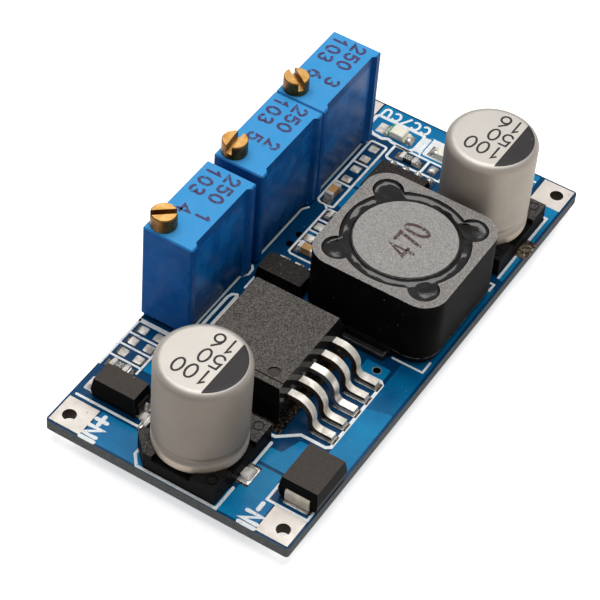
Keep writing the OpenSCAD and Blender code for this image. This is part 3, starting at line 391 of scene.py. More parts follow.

# %% [markdown]
# Edges are rubbed first, and they are where light catches. A bevel node gives the normal that a
# rounded edge would have, and where it differs from the true one there is an edge. Noise breaks
# the line into chips. The mask paints real wear on some parts and a painted highlight line on
# others.

# %% Edge wear and highlight, for the thin light line where a coating or a brittle body breaks, or a painted highlight
def edge_wear_and_highlight_group():
    group, given, out = new_group("edge wear and highlight", {"Width": 0.1, "Chip Size": 0.3},
                                  {"Mask": "Float"})
    width = maths(group, "MULTIPLY", given["Width"], MM)
    rounded = node(group, "ShaderNodeBevel", {"Radius": width}, samples=4)
    plain = node(group, "ShaderNodeNewGeometry")
    same = node(group, "ShaderNodeVectorMath",
                {0: rounded.outputs[0], 1: plain.outputs["Normal"]}, operation="DOT_PRODUCT")
    turned = maths(group, "SUBTRACT", 1.0, same.outputs["Value"])
    scale = maths(group, "DIVIDE", 1.0, given["Chip Size"])
    breaks = node(group, "ShaderNodeTexNoise", {"Vector": millimetres(group), "Scale": scale,
                                                "Detail": 3.0})
    gate = span(group, breaks.outputs[0], 0.38, 0.6)
    mask = maths(group, "MULTIPLY", span(group, turned, 0.02, 0.14), gate)
    group.links.new(mask, out["Mask"])
    return group


EDGE_WEAR_AND_HIGHLIGHT = edge_wear_and_highlight_group()

# %% [markdown]
# Many tops are finished in another way than their sides. The face's own normal tells them
# apart, and it turns with the part.

# %% Upward faces, for tops that are ground, printed or dusty
def upward_group():
    group, given, out = new_group("upward", {"Softness": 0.2}, {"Mask": "Float"})
    low = maths(group, "SUBTRACT", 0.9, given["Softness"])
    mask = node(group, "ShaderNodeMapRange", {
        "Value": coordinates(group, "Normal")["Z"], "From Min": low, "From Max": 0.95})
    group.links.new(mask.outputs[0], out["Mask"])
    return group


UPWARD = upward_group()


print("node groups:", sorted(g.name for g in bpy.data.node_groups))

# %% [markdown]
# A material starts as a Principled shader with its constant values set straight on it. What
# changes over the surface is then wired in: a colour, a roughness and a bump. Colours are
# written as eight-bit values, as a colour chart gives them. Each finish goes into one list
# under its name, and the parts take it from there.

# %% Start a material
def colour(*eight_bit):
    return (*[((v / 255 + 0.055) / 1.055) ** 2.4 if v > 10 else v / 255 / 12.92
              for v in eight_bit], 1.0)


FINISH = {}


def new_finish(name, **constants):
    made = FINISH[name] = bpy.data.materials.new(name)
    made.use_nodes = True
    tree = made.node_tree
    tree.nodes.clear()
    shader = node(tree, "ShaderNodeBsdfPrincipled")
    node(tree, "ShaderNodeOutputMaterial", {"Surface": shader.outputs[0]})
    for label, value in constants.items():
        shader.inputs[label.replace("_", " ")].default_value = value
    print("finish", name)
    return tree, shader


def wire(tree, shader, base, roughness, height, depth, alpha=None):
    bump = node(tree, "ShaderNodeBump", {"Height": height, "Distance": depth * MM})
    for label, value in (("Base Color", base), ("Roughness", roughness), ("Alpha", alpha),
                         ("Normal", bump.outputs[0])):
        if value is not None:
            tree.links.new(value, shader.inputs[label])


def sprinkle(tree, under, tone, strength, **values):
    return tint(tree, under, tone, use(tree, SPECKS, **values)["Mask"], strength)


# %% [markdown]
# The board is glass cloth in epoxy under a blue solder mask. The mask is a thin gloss varnish,
# so it gets a clear coat, a slow change of tone and a faint orange peel. The cut edges show
# the bare laminate: grey, rough, and layered. The walls of the round holes stay dark. Faces
# are told apart by their normals, so one material serves the whole board.

# %% Board finish
def side_mask(tree):
    return span(tree, facing(tree, "Z"), 0.7, 0.3)


def board_finish():
    tree, shader = new_finish("board_mask", Coat_Weight=0.04, Coat_Roughness=0.08,
                              Specular_IOR_Level=0.1)
    tone = use(tree, MOTTLE, Size=5.0, Contrast=2.2)["Mask"]
    mask = blend(tree, tone, colour(0, 36, 74), colour(2, 62, 104))
    weave = use(tree, GRAIN, Size=0.35, Sharpness=0.0)["Mask"]
    mask = tint(tree, mask, colour(10, 94, 140), weave, 0.25)
    mask = sprinkle(tree, mask, colour(150, 180, 200), 0.7, Spacing=0.9, Size=0.05, Share=0.35)

    place = millimetres(tree)
    stretch = node(tree, "ShaderNodeMapping", {"Vector": place, "Scale": (1.2, 1.2, 9.0)})
    cloth = node(tree, "ShaderNodeTexNoise", {"Vector": stretch.outputs[0], "Scale": 1.6,
                                              "Detail": 6.0, "Roughness": 0.75})
    laminate = blend(tree, span(tree, cloth.outputs[0], 0.3, 0.72),
                     colour(54, 58, 60), colour(124, 127, 126))
    sides = side_mask(tree)
    base = blend(tree, sides, mask, laminate)
    gloss = node(tree, "ShaderNodeMix", {0: sides, 2: 0.24, 3: 0.85}, data_type="FLOAT")
    peel = use(tree, GRAIN, Size=0.5, Sharpness=0.0)["Height"]
    wire(tree, shader, base, gloss.outputs[0], peel, 0.012)


board_finish()

# %% [markdown]
# Where copper lies under the mask, the varnish looks lighter and clearer, because the metal
# throws the light back through it. The copper areas are real raised plates further down, and
# this is their finish: the same varnish in a brighter blue, with fine scratches. The ground
# strip along the board's edge is a tone deeper.

# %% Varnish over copper
def pour_finish(name, low_tone, high_tone):
    tree, shader = new_finish(name, Coat_Weight=0.05, Coat_Roughness=0.07,
                              Specular_IOR_Level=0.1)
    tone = use(tree, MOTTLE, Size=4.0, Contrast=2.0)["Mask"]
    base = blend(tree, tone, low_tone, high_tone)
    scratch = use(tree, SCUFFS, Along_X=1.1, Along_Y=9.0, Along_Z=9.0, Share=0.16)["Mask"]
    base = tint(tree, base, colour(90, 165, 205), scratch, 0.35)
    base = sprinkle(tree, base, colour(180, 205, 220), 0.6, Spacing=0.8, Size=0.05, Share=0.4)
    cloud = use(tree, MOTTLE, Size=2.0, Contrast=1.5)["Mask"]
    wire(tree, shader, base, span(tree, cloud, 0.0, 1.0, 0.2, 0.34),
         use(tree, GRAIN, Size=0.5, Sharpness=0.0)["Height"], 0.012)


pour_finish("mask_over_copper", colour(0, 94, 148), colour(6, 134, 184))
pour_finish("mask_over_ground", colour(0, 72, 120), colour(4, 106, 152))

# %% [markdown]
# Tin, solder and plated strips are one family: the same warm silver, told apart by how smooth
# and how clean they are. The pads are matt and slightly spotted, fresh solder is bright and
# flows, and old solder is dull or brown with flux.

# %% Tin and solder finishes
def metal_finish(name, light, dark, rough, size, contrast=1.6, specks=0.0, depth=0.01,
                 grain=0.12, metallic=1.0, wall=None, speck_and_glint=colour(110, 100, 88)):
    tree, shader = new_finish(name, Metallic=metallic)
    cloud = use(tree, MOTTLE, Size=size, Contrast=contrast)["Mask"]
    base = blend(tree, cloud, dark, light)
    fine = use(tree, GRAIN, Size=grain, Sharpness=0.3)
    base = tint(tree, base, dark, fine["Mask"], 0.25)
    if specks:
        base = sprinkle(tree, base, speck_and_glint, 0.8, Spacing=0.7, Size=0.07, Share=specks)
    if wall:
        base = blend(tree, side_mask(tree), base, wall)
    wire(tree, shader, base, span(tree, cloud, 0.0, 1.0, rough[1], rough[0]),
         fine["Height"], depth)


# tinned_pad: the dark wall colour on its upright faces, the plated holes and pad edges, is painted
# shade
metal_finish("tinned_pad", colour(216, 210, 204), colour(192, 186, 180), (0.5, 0.62), 1.6,
             specks=0.24, depth=0.008, wall=colour(52, 42, 34))
metal_finish("land_tin", colour(250, 246, 238), colour(158, 152, 145), (0.45, 0.6), 0.7,
             contrast=3.2, specks=0.2, metallic=0.3)
metal_finish("solder", colour(236, 233, 228), colour(140, 136, 130), (0.22, 0.4), 0.7,
             contrast=2.6, depth=0.03, grain=0.4, metallic=0.7)
metal_finish("dull_solder", colour(132, 120, 106), colour(30, 26, 23), (0.25, 0.5), 0.3,
             contrast=3.4, depth=0.09, grain=0.2)
# flux_solder: its pale specks are painted glints
metal_finish("flux_solder", colour(96, 86, 76), colour(10, 9, 8), (0.18, 0.45), 0.22, contrast=4.0,
             specks=0.5, depth=0.12, grain=0.16, speck_and_glint=colour(226, 214, 200))
metal_finish("matt_strip", colour(232, 224, 210), colour(196, 186, 170), (0.45, 0.6), 1.0,
             contrast=2.0, specks=0.1, metallic=0.3)
metal_finish("tinned_strip", colour(240, 236, 228), colour(204, 196, 184), (0.36, 0.48), 1.4,
             contrast=2.4, specks=0.08)
metal_finish("spring_metal", colour(214, 200, 168), colour(170, 152, 118), (0.24, 0.36), 1.0)

# %% [markdown]
# The formed leads are punched from plated sheet. Their broad faces are matt and nearly white;
# the sheared edges show bare brown metal. The punch always cuts them across X, so a mask on
# that direction finds the sheared faces, and an edge mask darkens the corners.

# %% Lead finish
def lead_finish():
    tree, shader = new_finish("formed_lead", Metallic=0.35, Specular_IOR_Level=0.3)
    cloud = use(tree, MOTTLE, Size=0.9, Contrast=2.6)["Mask"]
    broad = blend(tree, cloud, colour(186, 178, 164), colour(246, 243, 237))
    fine = use(tree, GRAIN, Size=0.1, Sharpness=0.4)
    broad = tint(tree, broad, colour(180, 172, 160), fine["Mask"], 0.2)
    cut = span(tree, facing(tree, "X"), 0.5, 0.8)
    base = blend(tree, cut, broad, blend(tree, cloud, colour(34, 26, 20), colour(92, 70, 52)))
    edge = use(tree, EDGE_WEAR_AND_HIGHLIGHT, Width=0.05, Chip_Size=0.7)["Mask"]
    base = tint(tree, base, colour(84, 62, 44), edge, 0.75)
    wire(tree, shader, base, span(tree, cloud, 0.0, 1.0, 0.6, 0.45), fine["Height"], 0.012)


lead_finish()

# %% [markdown]
# The coil's shield and drum are pressed ferrite, a grey ceramic. The tops are ground flat, so
# they show a fine pale grain, and the brittle edges are chipped. The sides have a black,
# satin skin. An upward mask divides the two.

# %% Ferrite finishes
def ferrite_finish(name, light, dark, chip):
    tree, shader = new_finish(name, Specular_IOR_Level=0.005, Coat_Roughness=0.6)
    fine = use(tree, GRAIN, Size=0.07, Sharpness=0.55)
    cloud = use(tree, MOTTLE, Size=2.5, Contrast=1.4)["Mask"]
    ground = blend(tree, span(tree, fine["Mask"], 0.25, 0.75), dark, light)
    ground = tint(tree, ground, dark, cloud, 0.22)
    ground = sprinkle(tree, ground, colour(66, 64, 62), 0.5, Spacing=0.45, Size=0.06, Share=0.35)
    skin = blend(tree, cloud, colour(9, 8, 8), colour(24, 22, 22))
    skin = sprinkle(tree, skin, colour(150, 145, 140), 0.7, Spacing=0.8, Size=0.06, Share=0.3)
    up = use(tree, UPWARD, Softness=0.25)["Mask"]
    base = blend(tree, up, skin, ground)
    broken = use(tree, EDGE_WEAR_AND_HIGHLIGHT, Width=chip, Chip_Size=0.35)["Mask"]
    base = blend(tree, broken, base, colour(168, 164, 158))
    tree.links.new(span(tree, up, 0.0, 1.0, 0.0, 0.12), shader.inputs["Coat Weight"])
    wire(tree, shader, base, span(tree, up, 0.0, 1.0, 0.3, 0.62), fine["Height"], 0.018)


ferrite_finish("ferrite_shield", colour(164, 161, 158), colour(110, 107, 105), 0.16)
ferrite_finish("ferrite_drum", colour(174, 172, 170), colour(130, 128, 126), 0.1)

# %% [markdown]
# Moulded chip bodies are black epoxy filled with glass sand. The broad top of the regulator is
# spark-eroded: coarse, with grains that catch the light, and its pale grains are painted glints.
# The tops are painted lighter than the sides, partly for their rougher skin and partly as painted
# light from above, and the pale line along the edges is a painted highlight. The small bodies are
# smoother. The regulator's front and back faces are glossy, so there a mask lifts the clear coat.

# %% Moulding finishes
def moulding_finish(name, tone, glint, size, dusty, shine=0.0, painted_glints=0.5):
    tree, shader = new_finish(name, Specular_IOR_Level=0.03, Coat_Roughness=0.06)
    fine = use(tree, GRAIN, Size=size, Sharpness=0.6)
    side = blend(tree, use(tree, MOTTLE, Size=1.5)["Mask"], colour(8, 8, 8), colour(20, 19, 18))
    # painted light: the top is lighter than the black sides, and its pale specks are painted
    # glints
    top = blend(tree, span(tree, fine["Mask"], 0.3, 0.8), tone, glint)
    top = sprinkle(tree, top, colour(150, 138, 122), painted_glints,
                   Spacing=size * 3.2, Size=size * 0.75, Share=0.32)
    up = use(tree, UPWARD, Softness=0.3)["Mask"]
    base = blend(tree, up, side, top)
    base = sprinkle(tree, base, colour(165, 158, 150), 0.7, Spacing=0.9, Size=0.055, Share=dusty)
    # painted highlight: a pale line along the edges
    edge = use(tree, EDGE_WEAR_AND_HIGHLIGHT, Width=0.06, Chip_Size=0.5)["Mask"]
    base = tint(tree, base, colour(120, 114, 108), edge, 0.5)
    if shine:
        front = span(tree, facing(tree, "Y"), 0.5, 0.9, 0.0, shine)
        tree.links.new(front, shader.inputs["Coat Weight"])
    wire(tree, shader, base, span(tree, up, 0.0, 1.0, 0.45, 0.6),
         maths(tree, "MULTIPLY", fine["Height"], up), size * 0.2)


moulding_finish("black_moulding", colour(42, 40, 39), colour(66, 62, 60), 0.09, 0.2)
moulding_finish("diode_moulding", colour(70, 65, 61), colour(80, 75, 71), 0.07, 0.12, painted_glints=0.12)
moulding_finish("regulator_moulding", colour(60, 58, 56), colour(114, 109, 104), 0.075, 0.25,
                shine=1.0)

# %% [markdown]
# The cans are drawn aluminium with a fine satin skin. The lid is painted nearly white, as the
# light falls on it from above, and the wall a darker grey, as painted shade; the wall has faint
# upright draw marks, so its scuffs are stretched along Z. Bare metal would mirror the white floor
# and lose its grey, so the wall is kept less metallic than the lid. The bead rolled in above the
# base is a paler band, a painted highlight where it catches the light, and the output can is a
# lighter copy of the same finish, painted light.

# %% Can finish
CAN_BAND = box_mm("input_capacitor_can")[0].z + 1.1
BAND_EDGE = 0.05


def can_finish(name, low_tone, high_tone):
    tree, shader = new_finish(name, Specular_IOR_Level=0.3)
    marks = use(tree, SCUFFS, Along_X=7.0, Along_Y=7.0, Along_Z=0.25, Share=0.42)["Mask"]
    cloud = use(tree, MOTTLE, Size=3.5, Contrast=1.6)["Mask"]
    wall = blend(tree, cloud, low_tone, high_tone)
    wall = tint(tree, wall, colour(100, 92, 84), marks, 0.05)
    # painted highlight: the rolled bead is a paler band
    band_highlight = span(tree, height_mm(tree), CAN_BAND + BAND_EDGE, CAN_BAND - BAND_EDGE)
    wall = blend(tree, band_highlight, wall, colour(196, 182, 166))
    up = use(tree, UPWARD, Softness=0.5)["Mask"]
    # painted light: the lid is a lighter copy of the wall's metal, as lit from above
    base = blend(tree, up, wall, colour(194, 190, 184))
    base = sprinkle(tree, base, colour(130, 124, 116), 0.5, Spacing=1.6, Size=0.07, Share=0.25)
    rough = node(tree, "ShaderNodeMix", {0: up, 2: 0.5, 3: 0.55}, data_type="FLOAT")
    tree.links.new(span(tree, up, 0.0, 1.0, 0.35, 0.9), shader.inputs["Metallic"])
    change = maths(tree, "MULTIPLY", maths(tree, "SUBTRACT", cloud, 0.5), 0.08)
    wire(tree, shader, base, maths(tree, "ADD", rough.outputs[0], change),
         use(tree, GRAIN, Size=0.09, Sharpness=0.0)["Height"], 0.006)


can_finish("can_aluminium", colour(132, 123, 113), colour(148, 139, 129))
# the output can is a lighter copy of the same finish: painted light
can_finish("painted_lit_can", colour(168, 157, 145), colour(186, 175, 162))

# %% [markdown]
# The cans stand in black moulded bases. The flat floor of a base is smooth and nearly black;
# the tops of its guards are spark-eroded and look grey, so a mask on the height divides them.
# The guard at the -X, -Y corner of each base is kept dark as painted shade.

# %% Can base finish
def can_base_finish():
    tree, shader = new_finish("can_base", Specular_IOR_Level=0.03)
    cloud = use(tree, MOTTLE, Size=1.2, Contrast=1.8)["Mask"]
    dark = blend(tree, cloud, colour(9, 9, 9), colour(22, 20, 20))
    fine = use(tree, GRAIN, Size=0.09, Sharpness=0.6)
    pale = blend(tree, span(tree, fine["Mask"], 0.25, 0.75), colour(52, 51, 50),
                 colour(96, 94, 92))
    top = box_mm("input_capacitor_base")[1].z
    guard_with_shade = maths(tree, "MULTIPLY", span(tree, height_mm(tree), top - 0.12, top - 0.04),
                  use(tree, UPWARD, Softness=0.3)["Mask"])
    # painted shade: the guard at each base's -X, -Y corner stays dark
    box = coordinates(tree, "Generated")
    across = maths(tree, "ADD", box["X"], box["Y"])
    guard_with_shade = maths(tree, "MULTIPLY", guard_with_shade, span(tree, across, 0.5, 0.75, 0.12, 1.0))
    base = blend(tree, guard_with_shade, dark, pale)
    base = sprinkle(tree, base, colour(150, 146, 140), 0.6, Spacing=0.7, Size=0.05, Share=0.2)
    wire(tree, shader, base, span(tree, cloud, 0.0, 1.0, 0.42, 0.58), fine["Height"], 0.01)


can_base_finish()

# %% [markdown]
# The trimmer housings are glass-filled blue plastic. Their tops look satin and are painted a
# lighter blue than the sides, as light falling from above; dust sits on the sides, and the pale
# line along the edges is a painted highlight.

# %% Trimmer housing finish
def housing_finish():
    tree, shader = new_finish("blue_plastic", Specular_IOR_Level=0.035)
    cloud = use(tree, MOTTLE, Size=3.0, Contrast=1.8)["Mask"]
    side = blend(tree, cloud, colour(0, 78, 150), colour(8, 98, 176))
    up = use(tree, UPWARD, Softness=0.3)["Mask"]
    # painted light: the top is a lighter copy of the sides' blue, as lit from above
    base = blend(tree, up, side, colour(64, 154, 216))
    haze = use(tree, MOTTLE, Size=1.3, Contrast=3.0)["Mask"]
    base = tint(tree, base, colour(170, 190, 215), haze, 0.05)
    base = sprinkle(tree, base, colour(150, 190, 230), 0.55, Spacing=0.75, Size=0.05, Share=0.42)
    # painted highlight: a pale line along the edges
    edge = use(tree, EDGE_WEAR_AND_HIGHLIGHT, Width=0.07, Chip_Size=0.6)["Mask"]
    base = tint(tree, base, colour(96, 160, 225), edge, 0.45)
    wire(tree, shader, base, span(tree, up, 0.0, 1.0, 0.27, 0.42),
         use(tree, GRAIN, Size=0.16, Sharpness=0.2)["Height"], 0.008)


housing_finish()

# %% [markdown]
# The resin that fills the trimmers' inner side is poured in: glossier than the moulding, wavy,
# with pale smears that are partly dust and partly painted reflections, and darker towards the
# board as painted shade, where no light reaches. The height in millimetres sets how dark it is.

# %% Trimmer resin finish
def potting_finish():
    tree, shader = new_finish("blue_resin", Specular_IOR_Level=0.1)
    cloud = use(tree, MOTTLE, Size=2.4, Contrast=2.6)["Mask"]
    base = blend(tree, cloud, colour(2, 84, 164), colour(22, 126, 208))
    deep = span(tree, height_mm(tree), 6.5, 1.6, 0.0, 0.7)
    base = blend(tree, deep, base, colour(2, 22, 52))
    base = sprinkle(tree, base, colour(150, 170, 190), 0.6, Spacing=0.6, Size=0.05, Share=0.5)
    smear_and_reflection = use(tree, SPECKS, Spacing=1.9, Size=0.6, Share=0.16)["Mask"]
    breaks = use(tree, GRAIN, Size=0.3, Sharpness=0.3)["Mask"]
    smear_and_reflection = maths(tree, "MULTIPLY", smear_and_reflection, span(tree, breaks, 0.4, 0.7, 0.0, 0.5))
    base = blend(tree, smear_and_reflection, base, colour(120, 145, 165))
    wire(tree, shader, base, span(tree, cloud, 0.0, 1.0, 0.2, 0.34),
         use(tree, MOTTLE, Size=1.4, Contrast=1.5)["Mask"], 0.012)


potting_finish()

# %% [markdown]
# The adjusting screws are turned brass. Their sides are dull and browned and their scuffs run
# round them, so these are squeezed along Z; the tops are brighter.

# %% Brass finish
def brass_finish():
    tree, shader = new_finish("screw_brass", Metallic=1.0)
    turned = use(tree, SCUFFS, Along_X=1.5, Along_Y=1.5, Along_Z=11.0, Share=0.4)["Mask"]
    cloud = use(tree, MOTTLE, Size=0.8, Contrast=2.4)["Mask"]
    side = blend(tree, cloud, colour(84, 56, 28), colour(150, 106, 58))
    side = tint(tree, side, colour(70, 52, 30), turned, 0.35)
    top = blend(tree, cloud, colour(190, 140, 74), colour(228, 184, 116))
    up = use(tree, UPWARD, Softness=0.3)["Mask"]
    fine = use(tree, GRAIN, Size=0.1, Sharpness=0.2)
    top = tint(tree, top, colour(170, 124, 66), fine["Mask"], 0.3)
    base = blend(tree, up, side, top)
    wire(tree, shader, base, span(tree, cloud, 0.0, 1.0, 0.46, 0.34), fine["Height"], 0.016)


brass_finish()

# %% [markdown]
# The rest are plain finishes with one idea each, so they share a recipe: two tones mixed by
# mottle, a fine grain, and dust. Rubber is matt, ceramic is chalky, resin is wet, wire is
# lacquered, ink is thin.

# %% Plain finishes
def plain_finish(name, dark, light, rough, size=1.0, grain=0.12, depth=0.01, dust=0.0,
                 thin=0.0, **constants):
    tree, shader = new_finish(name, **constants)
    cloud = use(tree, MOTTLE, Size=size, Contrast=1.8)["Mask"]
    base = blend(tree, cloud, dark, light)
    fine = use(tree, GRAIN, Size=grain, Sharpness=0.3)
    base = tint(tree, base, dark, fine["Mask"], 0.2)
    if dust:
        base = sprinkle(tree, base, colour(160, 155, 150), 0.7, Spacing=0.7, Size=0.05, Share=dust)
    alpha = None
    if thin:
        ragged = use(tree, GRAIN, Size=0.16, Sharpness=0.4)["Mask"]
        alpha = span(tree, ragged, thin - 0.05, thin + 0.05)
    wire(tree, shader, base, span(tree, cloud, 0.0, 1.0, rough[0], rough[1]),
         fine["Height"], depth, alpha=alpha)


plain_finish("copper_wire", colour(122, 58, 26), colour(196, 112, 60), (0.2, 0.35), Metallic=0.9,
             Coat_Weight=0.5)
plain_finish("dark_resin", colour(6, 5, 6), colour(20, 18, 18), (0.08, 0.16), size=1.6, grain=0.6,
             depth=0.012, Specular_IOR_Level=0.62)
plain_finish("black_plastic", colour(9, 9, 9), colour(22, 20, 20), (0.3, 0.45), size=1.2,
             grain=0.14, dust=0.2, Specular_IOR_Level=0.18)
plain_finish("lip_plastic", colour(12, 12, 13), colour(40, 38, 38), (0.3, 0.45), size=0.6,
             grain=0.14, dust=0.3, Specular_IOR_Level=0.5)
# dark strips: on the coil's clips this is painted shade
plain_finish("stain_and_shade_strip", colour(20, 18, 16), colour(52, 45, 38), (0.4, 0.55), size=0.8,
             Metallic=0.4)
plain_finish("resistor_coat", colour(22, 21, 22), colour(44, 42, 42), (0.22, 0.4), grain=0.1)
plain_finish("beige_ceramic", colour(168, 124, 66), colour(204, 160, 98), (0.4, 0.55), grain=0.1)
plain_finish("green_carrier", colour(214, 208, 184), colour(236, 232, 214), (0.35, 0.5))
plain_finish("clear_lens", colour(232, 228, 206), colour(250, 249, 238), (0.15, 0.25), size=0.5)
plain_finish("via_copper", colour(22, 62, 84), colour(150, 158, 140), (0.4, 0.55), size=0.5)
# nearly white, non-metal solder: painted light on the joints by the input
plain_finish("white_solder", colour(168, 162, 156), colour(252, 250, 246), (0.3, 0.5), size=0.5,
             grain=0.2, depth=0.02)
# a paler rim: painted highlight along the lip's edge
plain_finish("rim_plastic", colour(48, 48, 50), colour(96, 95, 96), (0.3, 0.45), size=0.5)
# a black disc of painted shade for the open via holes
plain_finish("hole_dark", colour(2, 3, 4), colour(8, 8, 9), (0.8, 0.9), Specular_IOR_Level=0.0)
plain_finish("seal_rubber", colour(26, 26, 27), colour(46, 46, 47), (0.6, 0.75))
plain_finish("ivory_nylon", colour(214, 208, 188), colour(236, 232, 216), (0.35, 0.5))
plain_finish("white_ceramic", colour(216, 214, 208), colour(238, 237, 233), (0.5, 0.65))
plain_finish("white_ink", colour(214, 222, 226), colour(244, 246, 246), (0.45, 0.6), size=0.7,
             grain=0.2, thin=0.26)
plain_finish("brown_ink", colour(52, 30, 32), colour(76, 46, 48), (0.5, 0.6), thin=0.36)
plain_finish("grey_ink", colour(38, 34, 36), colour(52, 48, 50), (0.4, 0.5), grain=0.1, dust=0.25,
             Specular_IOR_Level=0.25)
plain_finish("violet_ink", colour(40, 26, 78), colour(64, 44, 108), (0.4, 0.5), thin=0.34)
plain_finish("pale_ink", colour(170, 170, 166), colour(214, 214, 208), (0.45, 0.6), thin=0.3)
plain_finish("green_ink", colour(60, 140, 84), colour(96, 186, 120), (0.35, 0.5), size=0.3)
print(len(FINISH), "finishes")

# %% [markdown]
# Every CAD node already carries the name of its material slot, so dressing them is one pass
# over the frame. A few ask for something else than their slot's finish: the coarse top of the
# regulator, its white leads, the smooth diodes, and the clips, painted dark as shade.

# %% Dress the CAD nodes
OTHER_FINISH = {
    "regulator_body": "regulator_moulding", "inductor_clips": "stain_and_shade_strip",
    "input_diode_body": "diode_moulding", "catch_diode_body": "diode_moulding",
    "input_diode_strips": "stain_and_shade_strip", "catch_diode_strips": "matt_strip",
    "regulator_leads": "formed_lead", "solder_lands": "dull_solder",
    "input_capacitor_base": "can_base", "output_capacitor_base": "can_base",
    "output_capacitor_can": "painted_lit_can", "output_capacitor_strips": "dull_solder",
    "chip_resistor_ends": "land_tin",
}


def dress_nodes():
    for name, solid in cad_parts.items():
        slot = solid.material_slots[0]
        slot.material = FINISH[OTHER_FINISH.get(name, slot.material.name.split(".")[0])]


dress_nodes()
print(len(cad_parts), "nodes dressed")

# %% [markdown]
# All the flat details, ink, copper and stripes, are thin plates cut to an outline. One helper
# fills an outline, with holes if it has any, and gives it a thickness, so that each is a closed
# mesh. Another makes the object, gives it its finish and lets it ride on the module.

# %% Helpers for plates
def ride_on(name, verts, faces, finish, slot=None, smooth=None):
    mesh = bpy.data.meshes.new(name)
    mesh.from_pydata([Vector(v) * MM for v in verts], [], faces)
    mesh.validate()
    if smooth is not None:
        mesh.shade_smooth()
        mesh.set_sharp_from_angle(angle=math.radians(smooth))
    mesh.materials.append(FINISH[finish])
    made = bpy.data.objects.new(name, mesh)
    bpy.context.scene.collection.objects.link(made)
    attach(made, "module")
    print(name, len(mesh.polygons), "faces")


def plate(store, loops, low, high):
    verts, faces = store
    base = len(verts)
    flat = [p for loop in loops for p in loop]
    verts += [(x, y, low) for x, y in flat] + [(x, y, high) for x, y in flat]
    count = len(flat)
    lists = [[Vector((x, y, 0)) for x, y in loop] for loop in loops]
    for a, b, c in geometry.tessellate_polygon(lists):
        pa, pb, pc = flat[a], flat[b], flat[c]
        area = (pb[0] - pa[0]) * (pc[1] - pa[1]) - (pb[1] - pa[1]) * (pc[0] - pa[0])
        if area < 0:
            b, c = c, b
        faces.append((base + count + a, base + count + b, base + count + c))
        faces.append((base + a, base + c, base + b))
    start = base
    for number, loop in enumerate(loops):
        size = len(loop)
        area = sum(loop[i - 1][0] * loop[i][1] - loop[i][0] * loop[i - 1][1]
                   for i in range(size))
        outward = (area > 0) == (number == 0)
        for i in range(size):
            j = (i + 1) % size
            quad = (start + i, start + j, start + count + j, start + count + i)
            faces.append(quad if outward else quad[::-1])
        start += size


print("helpers: ride_on, plate")

# %% [markdown]
# A printed line is a pen stroke. This helper turns the points of a stroke into such an
# outline, mitred at the corners and round at the ends, and draws every line and letter. Arcs
# come from a second helper.

# %% Helpers for pen lines
# How far a sharp corner may push the pen's edge out, and where its round ends have points
SHARPEST = 0.45
CAP_ANGLES = (-0.9, -0.3, 0.3, 0.9)


def pen(points, width, closed=False):
    half = width / 2
    path = [Vector(p) for p in points]
    count = len(path)
    left, right = [], []
    for i, here in enumerate(path):
        before = path[i - 1] if closed or i else None
        after = path[(i + 1) % count] if closed or i < count - 1 else None
        way_in = (here - before).normalized() if before is not None else None
        way_out = (after - here).normalized() if after is not None else None
        first, second = way_in or way_out, way_out or way_in
        middle = (first + second).normalized()
        across = Vector((-middle.y, middle.x))
        reach = half / max(across.dot(Vector((-first.y, first.x))), SHARPEST)
        left.append(here + across * reach)
        right.append(here - across * reach)
    if closed:
        return [[tuple(p) for p in left], [tuple(p) for p in right]]

    def cap(centre, way):
        angle = math.atan2(way.y, way.x)
        return [centre + Vector((math.cos(angle + a), math.sin(angle + a))) * half
                for a in CAP_ANGLES]

    end = cap(path[-1], path[-1] - path[-2])
    begin = cap(path[0], path[0] - path[1])
    return [[tuple(p) for p in right + end + left[::-1] + begin]]


def bow(cx, cy, rx, ry, start, end, steps=8):
    return [(cx + rx * math.cos(math.radians(start + (end - start) * i / steps)),
             cy + ry * math.sin(math.radians(start + (end - start) * i / steps)))
            for i in range(steps + 1)]


print("helpers: pen, bow")

# %% [markdown]
# The letters are drawn with a pen in a box one unit wide and one high. Only plain figures and
# the words for the terminals are needed, so the alphabet is short. A stroke is a list of
# points and a flag, and a flag of True closes it into a ring.

